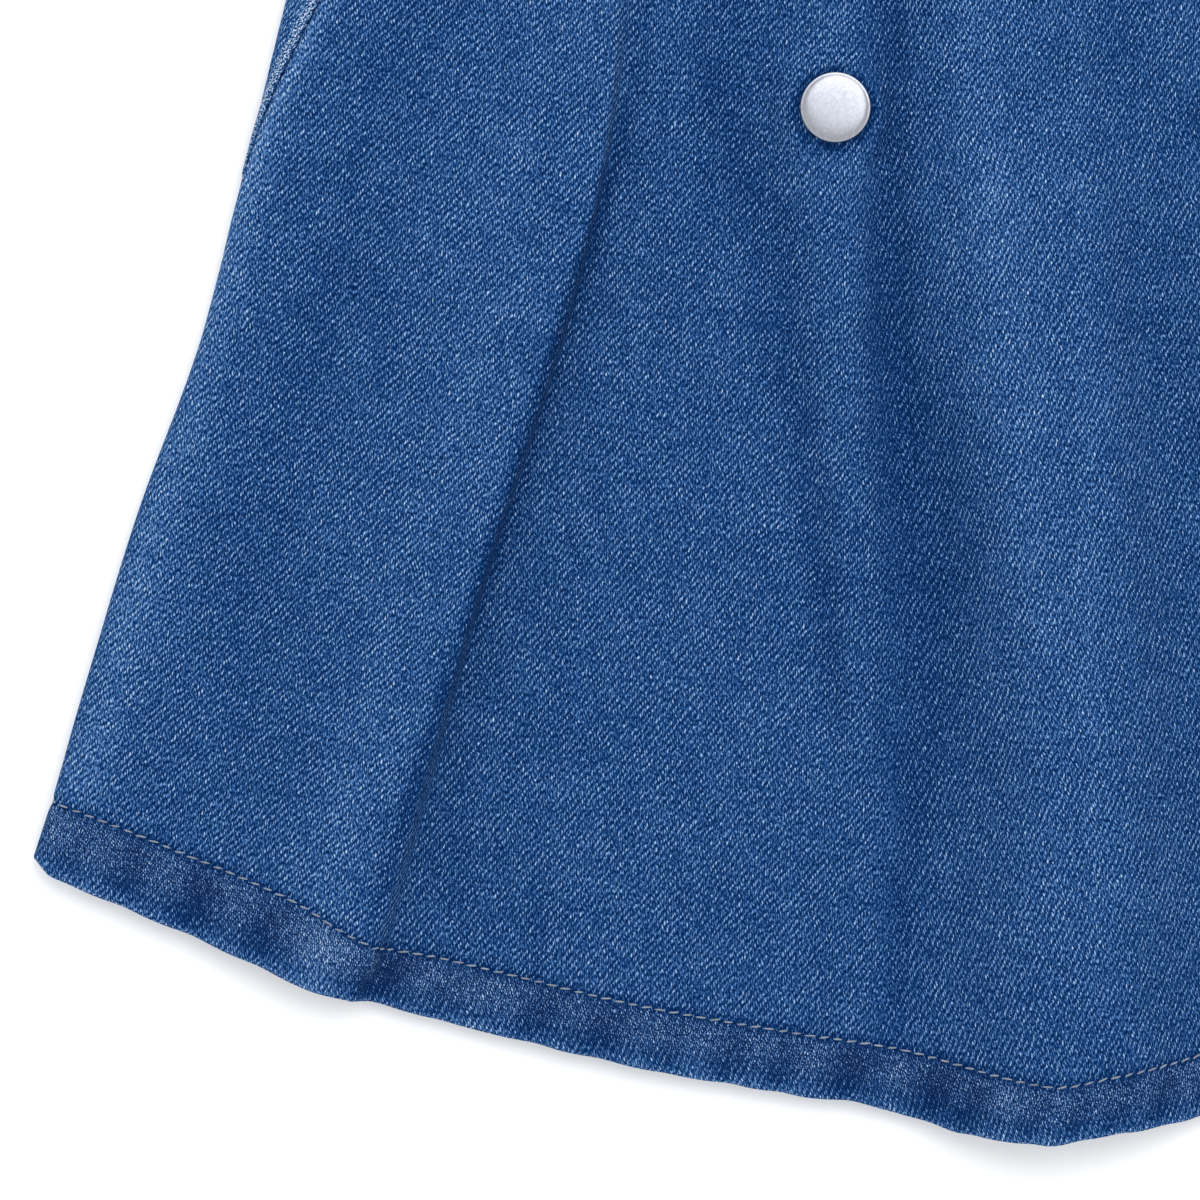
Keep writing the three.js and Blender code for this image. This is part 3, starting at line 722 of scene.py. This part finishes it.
def back_outer(rows):
    """X, Y, Z and the distance from the seams on the back's outer face, from right to left underneath."""
    t = station(rows)
    left_seam = along(LEFT.seam, t) - SHELL_GAP / 2
    right_seam = along(RIGHT.seam, t) - SHELL_GAP / 2
    flat = np.full_like(t, -(QUARTER + EDGE_FLAT))
    right_reach = steps_between(right_seam, flat, BACK_EDGE_SAMPLES)
    left_reach = steps_between(flat, left_seam, BACK_EDGE_SAMPLES, last=True)
    right_x = roll_x(RIGHT, t, right_reach)
    left_x = roll_x(LEFT, t, left_reach)
    start = roll_x(RIGHT, t, flat[:, None])[:, 0]
    middle_x = steps_between(start, left_x[:, 0], BACK_MIDDLE_SAMPLES)
    x = np.concatenate([right_x, middle_x, left_x], axis=1)
    y = row_ys(x, t, rows, BACK_INSET)
    z = np.concatenate([roll_z(right_reach), np.zeros_like(middle_x), roll_z(left_reach)], axis=1)
    n = left_reach.shape[1]
    height = front_height(x, t, SEAM_Y - y)
    z[:, -n:] = np.where(left_reach > QUARTER, height[:, -n:], z[:, -n:])
    from_seam = np.full_like(x, UNMARKED)
    from_seam[:, : right_reach.shape[1]] = right_seam[:, None] - right_reach
    from_seam[:, -n:] = left_seam[:, None] - left_reach
    return x, y, z, from_seam


def make_back(material):
    rows = panel_rows()
    x, y, z, from_seam = back_outer(rows)
    rise = rise_of(rows, y)
    # The underside keeps its flat face, so what stands out of it does so only on the turned-up edges.
    ridge = np.where(z > ROLL, along_edge(from_seam, BACK_SEAM_RIDGE), 0)
    out = ridge + stitch_groove(rise) - rows.sink[:, None]
    normal_x, normal_z = face_normals(x, z)
    points = np.stack([x + normal_x * out, y, z + normal_z * out], axis=-1)
    uv = spread_cloth(points, 0)
    maps = {"grain_sides": turned(uv, "back"), "grain_middle": uv}
    seam_tone = sum(along_edge(from_seam, mark) for mark in BACK_SEAM_TONES)
    marks = {
        "tone": seam_tone + along_edge(rise, BACK_HEM_TONE) + BACK_TONE,
        "worn": along_edge(from_seam, BACK_SEAM_WEAR) + along_edge(rise, BACK_HEM_WEAR),
        "dots": np.where(rise < HEM_DEPTH, BACK_HEM_DOTS, BARE_DOTS) + np.zeros_like(x),
        "middle": ease(2 - np.abs(x) / BACK_MIDDLE_HALF),
    }
    piece = thicken(add_piece("skirt_back", cloth_mesh("skirt_back", points, maps, marks), material))
    return Panel(piece, points[MAIN_ROWS], normal_x[MAIN_ROWS], normal_z[MAIN_ROWS])


def band_loop():
    """X and Z all the way round the waistband, with its share of ruching and the gathers' column there."""
    inside = WAIST_HALF - BAND_ROLL
    front_x = np.linspace(-inside, inside, BAND_FRONT_SAMPLES, endpoint=False)
    front_z = 2 * BAND_ROLL + BAND_ARCH * (1 - (front_x / inside) ** 2)
    back_x = np.linspace(inside, -inside, BAND_BACK_SAMPLES, endpoint=False)
    turn = np.linspace(0, np.pi, BAND_ROLL_SAMPLES, endpoint=False)
    beyond = inside + BAND_ROLL * np.sin(turn)
    rolled = BAND_ROLL * np.cos(turn)
    x = np.concatenate([front_x, beyond, back_x, -beyond])
    z = np.concatenate([front_z, BAND_ROLL + rolled, np.zeros_like(back_x), BAND_ROLL - rolled])
    ruching = np.zeros_like(x)
    ruching[:BAND_FRONT_SAMPLES] = ease((inside - np.abs(front_x)) / EDGE_FADE)
    column = (x + inside) / (2 * inside) * FRONT_COLUMNS
    return (np.append(values, values[0]) for values in (x, z, ruching, column))


def band_profile():
    """Y and the depth behind the outer face, round the band's wall from its foot."""
    radius = BAND_PLIES / 2
    arc = np.linspace(0, np.pi, BAND_EDGE_SAMPLES)
    face = np.linspace(SEAM_Y + radius, TOP_Y - radius, BAND_FACE_SAMPLES, endpoint=False)
    inner = np.linspace(TOP_Y - radius, SEAM_Y + radius, BAND_INNER_SAMPLES)[1:-1]
    top = TOP_Y - radius + radius * np.sin(arc)
    foot = SEAM_Y + radius - radius * np.sin(arc)
    y = np.concatenate([face, top, inner, foot])
    behind = [np.zeros_like(face), radius * (1 - np.cos(arc)), np.full_like(inner, 2 * radius)]
    sink = np.concatenate([*behind, radius * (1 + np.cos(arc))])
    y[-1] = y[0]
    sink[-1] = sink[0]
    return y[::-1], sink[::-1]


def make_waistband(material):
    """Elastic in its casing: one closed ring with a rounded top and bottom."""
    x, z, ruching, column = band_loop()
    y, sink = band_profile()
    share = (TOP_Y - y) / BAND_HEIGHT
    wave = gather_wave(column) + BAND_CRINKLE * np.sin(column * 3.1 + 0.7) * np.sin(column * 0.57)
    ruche = mix(*BAND_RUCHE, share)[:, None] * GATHER_RISE * wave * ruching
    ruche = ruche * (1 + along_edge(share, BAND_STITCH))[:, None]
    xs = np.tile(x, (len(y), 1))
    ys = np.tile(y[:, None], (1, len(x)))
    zs = np.tile(z, (len(y), 1))
    outer = (sink < BAND_PLIES / 2)[:, None]
    normal_x, normal_z = face_normals(xs, zs)
    out = np.where(outer, ruche, ruche * BAND_INSIDE_RUCHE) - sink[:, None]
    points = np.stack([xs + normal_x * out, ys, zs + normal_z * out], axis=-1)
    arc_length = np.concatenate([[0], np.cumsum(np.hypot(np.diff(x), np.diff(z)))])
    height = np.concatenate([[0], np.cumsum(np.hypot(np.diff(y), np.diff(sink)))])
    uv = np.stack(np.meshgrid(arc_length * BAND_EASE, -height), axis=-1)
    # The tone: painted light and shade on the ruching, a worn top edge, and the band a little deeper all
    # over.
    tone = BAND_RUCHE_SHADING * (wave * ruching)[None, :] + along_edge(share, BAND_TOP_TONE)[:, None] + BAND_TONE
    worn = along_edge(share, BAND_TOP_WEAR)[:, None] + np.zeros_like(tone)
    marks = {"tone": tone, "worn": worn, "middle": np.zeros_like(tone)}
    mesh = cloth_mesh("elastic_waistband", points, {"grain_sides": uv, "grain_middle": uv}, marks)
    close_up(mesh)
    return add_piece("elastic_waistband", mesh, material)


def weld(shape):
    """Joins points that lie together, and turns every face outward."""
    bmesh.ops.remove_doubles(shape, verts=shape.verts, dist=SAME_PLACE * MM)
    bmesh.ops.recalc_face_normals(shape, faces=shape.faces)


def close_up(mesh):
    """Joins the ends of a ring's grid."""
    shape = bmesh.new()
    shape.from_mesh(mesh)
    weld(shape)
    shape.to_mesh(mesh)
    shape.free()
    mesh.shade_smooth()


def point_along(line, length, place):
    """The point, or the direction, at a place along a line whose points lie at these lengths."""
    return Vector([np.interp(place, length, line[:, k]) for k in range(3)])


def add_stitches(shape, points, outward, lean):
    """Short laid stitches along a line on the cloth, each a thread sunk at its ends and a little uneven."""
    length = np.concatenate([[0], np.cumsum(np.linalg.norm(np.diff(points, axis=0), axis=1))])
    for k in range(int(length[-1] / STITCH_PITCH)):
        place = (k + 0.5) * STITCH_PITCH
        at = point_along(points, length, place)
        up = point_along(outward, length, place).normalized()
        ahead = (point_along(points, length, place + STITCH_AHEAD) - at).normalized()
        sideways = up.cross(ahead).normalized()
        ahead = sideways.cross(up)
        facing = Matrix((ahead, sideways, up)).transposed()
        turn = Matrix.Rotation(math.radians(lean + STITCH_SWAY * math.sin(k * 2.4)), 3, up)
        stretch = STITCH_LENGTH * (1 + STITCH_UNEVEN * math.sin(k * 1.7))
        size = Matrix.Diagonal((stretch / 2, THREAD / 2, THREAD / 2, 1))
        where = Matrix.Translation((at + up * THREAD * THREAD_LIFT) * MM)
        matrix = where @ (turn @ facing).to_4x4() @ size @ Matrix.Scale(MM, 4) @ THREAD_LYING
        bmesh.ops.create_uvsphere(shape, u_segments=8, v_segments=6, radius=1, matrix=matrix)


def finish_mesh(name, shape):
    mesh = bpy.data.meshes.new(name)
    shape.to_mesh(mesh)
    shape.free()
    mesh.shade_smooth()
    return mesh


def make_hem_stitches(panels, material):
    """The lines of stitches round the hem, over the front and under the back."""
    shape = bmesh.new()
    for panel in panels:
        outward = np.stack([panel.outward_x, panel.outward_x * 0, panel.outward_z], axis=-1)
        add_stitches(shape, panel.stitch_line, outward, STITCH_LEAN)
    return add_piece("hem_stitches", finish_mesh("hem_stitches", shape), material)


def make_snap_cap(material):
    """The snap's cap: a nearly flat face, a rolled rim and a groove between them."""
    base = SNAP_SEAT_Z + SEAM_GAP - SNAP_SINK
    shape = bmesh.new()
    line = [shape.verts.new(Vector((r, SNAP_Y, base + z)) * MM) for r, z in SNAP_PROFILE]
    edges = [shape.edges.new(pair) for pair in zip(line, line[1:])]
    centre = Vector((0, SNAP_Y, 0)) * MM
    turn = {"cent": centre, "axis": (0, 0, 1), "angle": 2 * math.pi, "steps": SNAP_STEPS}
    bmesh.ops.spin(shape, geom=line + edges, use_merge=True, **turn)
    weld(shape)
    return add_piece("snap_cap_metal", finish_mesh("snap_cap_metal", shape), material)


# Linear colours at steps of paleness: denim from its deep indigo to its bare worn yarn, and then the others.
DENIM_STEPS = (
    (0.0, (0.0012, 0.0125, 0.06)),
    (0.22, (0.0045, 0.0325, 0.122)),
    (0.4, (0.0235, 0.0825, 0.228)),
    (0.58, (0.088, 0.192, 0.39)),
    (0.75, (0.19, 0.315, 0.51)),
    (1.0, (0.46, 0.54, 0.62)),
)
# The thread's colours run with its twist: the deep one is painted shade in the grooves, the pale one painted
# light on the plies.
THREAD_STEPS = ((0.36, (0.03, 0.05, 0.09)), (0.62, (0.32, 0.37, 0.44)))
NICKEL_STEPS = ((0.3, (0.26, 0.268, 0.3)), (0.7, (0.38, 0.39, 0.43)))
PAPER_STEPS = ((0.0, (0.95, 0.95, 0.953)), (1.0, (0.975, 0.975, 0.978)))
SHEEN_BLUE = (0.12, 0.32, 0.75, 1)

# How fine each noise on the cloth is, in cells to a metre, and how much it pales the cloth. Streaks run along
# the warp, and slubs are short ones.
YARN_WANDER = 260
YARN_JITTER = 1300
STREAKS = (1900, 70, 0)
STREAK_SHADE = 0.16
SLUBS = (2900, 1250, 0)
SLUB_SHADE = 1.6
MOTTLING = 140
MOTTLE_SHADE = 0.16
PATCHES = 34
PATCH_SHADE = 0.1
LINT = 2600
LINT_SHADE = 7.0
# The denim's paleness where nothing marks it, what a whole tone adds, and the share of their sum that its
# colour takes.
BASE_SHADE = 0.162
TONE_SHADE = 0.2
COLOUR_SHARE = 0.73

# The same in the other materials. The nickel's rubbed lines run slantwise over the cap, with their cells to a
# metre given along, across and up, and their turn in radians.
THREAD_TWIST = 1400
THREAD_CLOUDS = 260
NICKEL_CLOUDS = 1500
NICKEL_RUBS = (700, 4200, 900)
NICKEL_SLANT = -0.9
PAPER_GRAIN = 900

# The twill: how far its yarns wander and jitter, in yarns, how round they are, and where over the three wefts
# of a repeat a warp float starts and how long it is.
WARP_UNEVEN = (1.3, 1.3)
WEFT_UNEVEN = (-1.1, 1.5)
YARN_ROUNDNESS = 1.9
REPEAT = 3.0
FLOAT_START = 0.7
FLOAT_LENGTH = 2.3
# How pale a warp float is, and what chance and the hems' dots add to that, then the same for a weft, and how
# high a weft stands beside a warp float.
WARP_SHADE = 1.05
WARP_CHANCE = 0.7
WARP_IN_DOTS = -0.15
WEFT_SHADE = 0.15
WEFT_IN_DOTS = 2.3
WEFT_RISE = 0.35
# How clearly the weave shows, and what dots and wear add. Wear also pales the cloth, and dots grey it.
CLEARNESS = 0.5
DOTS_CLEARNESS = 0.25
WEAR_CLEARNESS = -0.2
WEAR_SHADE = 0.3
DOTS_GREY = 0.06
# The cloth's finest relief.
NAP_RISE = 0.35
MOTTLE_RISE = 1.2


class Graph:
    """Adds nodes to one material's tree, and links or sets their inputs."""

    def __init__(self, tree):
        self.tree = tree

    def node(self, kind, inputs=(), **settings):
        made = self.tree.nodes.new(kind)
        for name, value in settings.items():
            setattr(made, name, value)
        for key, value in dict(inputs).items():
            self.feed(made.inputs[key], value)
        return made

    def feed(self, socket, value):
        if isinstance(value, bpy.types.NodeSocket):
            self.tree.links.new(value, socket)
        else:
            socket.default_value = value

    def math(self, operation, *values, clamp=False):
        inputs = dict(enumerate(values))
        return self.node("ShaderNodeMath", inputs, operation=operation, use_clamp=clamp).outputs[0]

    def times(self, a, b):
        return self.math("MULTIPLY", a, b)

    def plus(self, total, *weighted):
        """A total with each value added at its own weight."""
        for value, weight in weighted:
            total = self.math("ADD", total, self.times(value, weight))
        return total

    def less(self, a, b):
        return self.math("SUBTRACT", a, b)

    def stretched(self, vector, scales):
        inputs = {0: vector, 1: scales}
        return self.node("ShaderNodeVectorMath", inputs, operation="MULTIPLY").outputs[0]

    def noise(self, vector, scale, detail=2.0, roughness=0.5, space="2D"):
        inputs = {"Vector": vector, "Scale": scale, "Detail": detail, "Roughness": roughness}
        return self.node("ShaderNodeTexNoise", inputs, noise_dimensions=space).outputs[0]

    def swing(self, *inputs):
        """Noise that swings about zero."""
        return self.less(self.noise(*inputs), 0.5)

    def colours(self, share, steps):
        """The colour at a share, blended between steps that are in rising order."""
        made = self.node("ShaderNodeValToRGB", {0: share})
        elements = made.color_ramp.elements
        elements.remove(elements[1])
        elements[0].position = steps[0][0]
        for place, _ in steps[1:]:
            elements.new(place)
        for element, (_, colour) in zip(elements, steps):
            element.color = (*colour, 1)
        return made.outputs[0]

    def blend(self, share, low, high):
        made = self.node("ShaderNodeMix", {0: share}, data_type="FLOAT")
        self.feed(made.inputs[2], low)
        self.feed(made.inputs[3], high)
        return made.outputs[0]


def start_material(name, roughness, metallic=0.0, sheen=0.0, sheen_roughness=0.5):
    material = bpy.data.materials.new(name)
    material.use_nodes = True
    shader = material.node_tree.nodes["Principled BSDF"]
    shader.inputs["Roughness"].default_value = roughness
    shader.inputs["Metallic"].default_value = metallic
    shader.inputs["Sheen Weight"].default_value = sheen
    shader.inputs["Sheen Roughness"].default_value = sheen_roughness
    return material, Graph(material.node_tree), shader


def coat(graph, shader, colour, height, strength, distance):
    """Gives a shader its colour, and its fine relief from a height and that height's depth in millimetres."""
    graph.feed(shader.inputs["Base Color"], colour)
    inputs = {"Height": height, "Strength": strength, "Distance": distance * MM}
    graph.feed(shader.inputs["Normal"], graph.node("ShaderNodeBump", inputs).outputs[0])


def object_place(graph):
    return graph.node("ShaderNodeTexCoord").outputs["Object"]


def twill_group():
    """A 2/1 right-hand twill on a piece's own cloth coordinates: how pale each point is, partly the yarns'
    wear and partly painted shade, and how high.
    """
    tree = bpy.data.node_groups.new("twill weave", "ShaderNodeTree")
    tree.interface.new_socket(name="Cloth", in_out="INPUT", socket_type="NodeSocketVector")
    tree.interface.new_socket(name="Dots", in_out="INPUT", socket_type="NodeSocketFloat")
    tree.interface.new_socket(name="Pale", in_out="OUTPUT", socket_type="NodeSocketFloat")
    tree.interface.new_socket(name="Height", in_out="OUTPUT", socket_type="NodeSocketFloat")
    graph = Graph(tree)
    cloth, dots = graph.node("NodeGroupInput").outputs[:2]
    flat = graph.node("ShaderNodeSeparateXYZ", {0: cloth}).outputs
    wobble = graph.swing(cloth, YARN_WANDER, 1)
    jitter = graph.swing(cloth, YARN_JITTER, 1)
    even_warp = graph.times(flat[0], 1 / (WARP_PITCH * MM))
    even_weft = graph.times(flat[1], 1 / (WEFT_PITCH * MM))
    warp = graph.plus(even_warp, (wobble, WARP_UNEVEN[0]), (jitter, WARP_UNEVEN[1]))
    weft = graph.plus(even_weft, (wobble, WEFT_UNEVEN[0]), (jitter, WEFT_UNEVEN[1]))
    yarn = graph.math("FLOOR", warp)
    round_yarn = graph.math("SINE", graph.times(graph.less(warp, yarn), math.pi))
    across = graph.math("POWER", round_yarn, YARN_ROUNDNESS)
    # Each warp yarn floats over two wefts and dips under the third, one weft above where its neighbour does.
    slant = graph.less(weft, yarn)
    cell = graph.math("FLOORED_MODULO", slant, REPEAT)
    number = graph.math("FLOOR", graph.math("DIVIDE", slant, REPEAT))
    share = graph.math("MULTIPLY", graph.less(cell, FLOAT_START), 1 / FLOAT_LENGTH, clamp=True)
    lengthways = graph.math("SINE", graph.times(share, math.pi))
    float_height = graph.times(across, lengthways)
    one_float = graph.node("ShaderNodeCombineXYZ", {0: yarn, 1: number}).outputs[0]
    chance = graph.node("ShaderNodeTexWhiteNoise", {"Vector": one_float}, noise_dimensions="2D").outputs[0]
    brightness = graph.plus(WARP_SHADE, (chance, WARP_CHANCE), (dots, WARP_IN_DOTS))
    on_top = graph.math("LESS_THAN", cell, 1.0)
    weft_height = graph.times(graph.times(graph.math("SINE", graph.times(cell, math.pi)), across), on_top)
    dot = graph.times(graph.times(weft_height, weft_height), graph.plus(WEFT_SHADE, (dots, WEFT_IN_DOTS)))
    # Paleness follows the yarns' height: the floats' worn crowns are pale, and their sides and the weft
    # points are deep with painted shade, save where the hems' dots show the white weft.
    pale = graph.plus(dot, (float_height, brightness))
    height = graph.plus(float_height, (weft_height, WEFT_RISE))
    output = graph.node("NodeGroupOutput")
    graph.feed(output.inputs["Pale"], pale)
    graph.feed(output.inputs["Height"], height)
    return tree


def denim_material():
    """Washed indigo twill, matt but for a faint blue sheen."""
    material, graph, shader = start_material("washed denim", 0.88, sheen=0.02)
    shader.inputs["IOR"].default_value = 1.0
    shader.inputs["Sheen Tint"].default_value = SHEEN_BLUE
    weave = twill_group()

    def mark(name):
        return graph.node("ShaderNodeAttribute", attribute_name=name).outputs["Fac"]

    def woven(cloth):
        made = graph.node("ShaderNodeGroup", node_tree=weave)
        graph.feed(made.inputs["Cloth"], cloth)
        graph.feed(made.inputs["Dots"], mark("dots"))
        return made.outputs["Pale"], made.outputs["Height"]

    side_cloth = graph.node("ShaderNodeUVMap", uv_map="grain_sides").outputs[0]
    middle_cloth = graph.node("ShaderNodeUVMap", uv_map="grain_middle").outputs[0]
    side_pale, side_height = woven(side_cloth)
    middle_pale, middle_height = woven(middle_cloth)
    middle = mark("middle")
    pale = graph.blend(middle, side_pale, middle_pale)
    height = graph.blend(middle, side_height, middle_height)

    # Uneven yarn and dye: streaks along the warp, and soft mottling that the wash leaves.
    streak = graph.swing(graph.stretched(middle_cloth, STREAKS), 1, 2)
    slub = graph.swing(graph.stretched(middle_cloth, SLUBS), 1, 1)
    mottle = graph.swing(middle_cloth, MOTTLING, 3, 0.6)
    patch = graph.swing(middle_cloth, PATCHES, 2)
    nap = graph.swing(middle_cloth, LINT, 2)
    clearness = graph.plus(CLEARNESS, (mark("dots"), DOTS_CLEARNESS), (mark("worn"), WEAR_CLEARNESS))
    fray = graph.plus(WEAR_SHADE, (nap, LINT_SHADE))
    yarns = graph.plus(BASE_SHADE, (pale, clearness), (streak, STREAK_SHADE), (slub, SLUB_SHADE))
    washed = graph.plus(yarns, (mottle, MOTTLE_SHADE), (patch, PATCH_SHADE))
    # The tone mark brings in the folds' and creases' painted shade and light, the snap's painted shadow and
    # the sewn edges' wear.
    shade = graph.plus(washed, (mark("tone"), TONE_SHADE), (mark("worn"), fray))
    dyed = graph.colours(graph.times(shade, COLOUR_SHARE), DENIM_STEPS)
    saturation = graph.less(1.0, graph.times(mark("dots"), DOTS_GREY))
    colour = graph.node("ShaderNodeHueSaturation", {"Color": dyed, "Saturation": saturation}).outputs[0]
    relief = graph.plus(height, (nap, NAP_RISE), (mottle, MOTTLE_RISE))
    coat(graph, shader, colour, relief, 0.55, 0.16)
    return material


def thread_material():
    """Grey sewing thread, with painted shade in the grooves of its twist and painted light on its plies, and
    faint clouding.
    """
    material, graph, shader = start_material("grey sewing thread", 0.6, sheen=0.2)
    place = object_place(graph)
    twist_inputs = {"Vector": place, "Scale": THREAD_TWIST, "Distortion": 3.0}
    twist = graph.node("ShaderNodeTexWave", twist_inputs).outputs[1]
    cloudy = graph.noise(place, THREAD_CLOUDS, space="3D")
    shade = graph.blend(0.55, twist, cloudy)
    coat(graph, shader, graph.colours(shade, THREAD_STEPS), twist, 0.5, 0.08)
    return material


def nickel_material():
    """Satin nickel, rubbed and faintly clouded from handling."""
    material, graph, shader = start_material("satin nickel", 0.28, metallic=1.0)
    place = object_place(graph)
    cloudy = graph.noise(place, NICKEL_CLOUDS, 4, space="3D")
    turn = {"Vector": place, "Angle": NICKEL_SLANT}
    slantwise = graph.node("ShaderNodeVectorRotate", turn, rotation_type="Z_AXIS").outputs[0]
    scratch = graph.noise(graph.stretched(slantwise, NICKEL_RUBS), 1, 3, space="3D")
    shade = graph.blend(0.6, cloudy, scratch)
    coat(graph, shader, graph.colours(shade, NICKEL_STEPS), shade, 0.25, 0.06)
    return material


def floor_material():
    """Plain white paper, with hardly any grain."""
    material, graph, shader = start_material("white paper", 0.9)
    grain = graph.noise(object_place(graph), PAPER_GRAIN, space="3D")
    graph.feed(shader.inputs["Base Color"], graph.colours(grain, PAPER_STEPS))
    return material


def set_camera():
    """Straight above, with the view's own width at the height of the cloth."""
    lens = bpy.data.cameras.new("camera")
    lens.lens = LENS
    lens.sensor_width = SENSOR
    camera = bpy.data.objects.new("camera", lens)
    bpy.context.scene.collection.objects.link(camera)
    distance = VIEW_WIDTH * LENS / SENSOR
    camera.location = Vector((*VIEW_CENTRE, VIEW_FOCUS_Z + distance)) * MM
    bpy.context.scene.camera = camera


def set_lights():
    """A pale room and one large soft light beyond the waist."""
    scene = bpy.context.scene
    scene.view_settings.view_transform = "Standard"
    scene.world = bpy.data.worlds.new("pale room")
    scene.world.use_nodes = True
    background = scene.world.node_tree.nodes["Background"]
    background.inputs["Color"].default_value = ROOM_COLOUR
    background.inputs["Strength"].default_value = ROOM_STRENGTH
    lamp = bpy.data.lights.new("soft light", "AREA")
    lamp.size = LAMP_SIZE
    lamp.energy = LAMP_WATTS
    light = bpy.data.objects.new("soft light", lamp)
    scene.collection.objects.link(light)
    light.location = LAMP_PLACE
    aim = Vector(LAMP_AIM) - light.location
    light.rotation_euler = aim.to_track_quat("-Z", "Y").to_euler()


def lay_floor():
    """A large sheet of paper, just under the skirt."""
    shape = bmesh.new()
    bmesh.ops.create_grid(shape, x_segments=4, y_segments=4, size=FLOOR_HALF)
    bmesh.ops.translate(shape, verts=shape.verts, vec=(0, 0, -FLOOR_DROP * MM))
    floor = bpy.data.objects.new("floor", finish_mesh("floor", shape))
    bpy.context.scene.collection.objects.link(floor)
    floor.data.materials.append(floor_material())


set_camera()
set_lights()
lay_floor()

denim = denim_material()
thread = thread_material()
nickel = nickel_material()

front = make_front(denim)
back = make_back(denim)
waistband = make_waistband(denim)
hem_stitches = make_hem_stitches((front, back), thread)
cap = make_snap_cap(nickel)

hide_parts("front_panel")
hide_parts("back_panel")
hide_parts("waistband")
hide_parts("snap_cap")
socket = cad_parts["snap_socket"]
socket.data.materials.clear()
socket.data.materials.append(nickel)
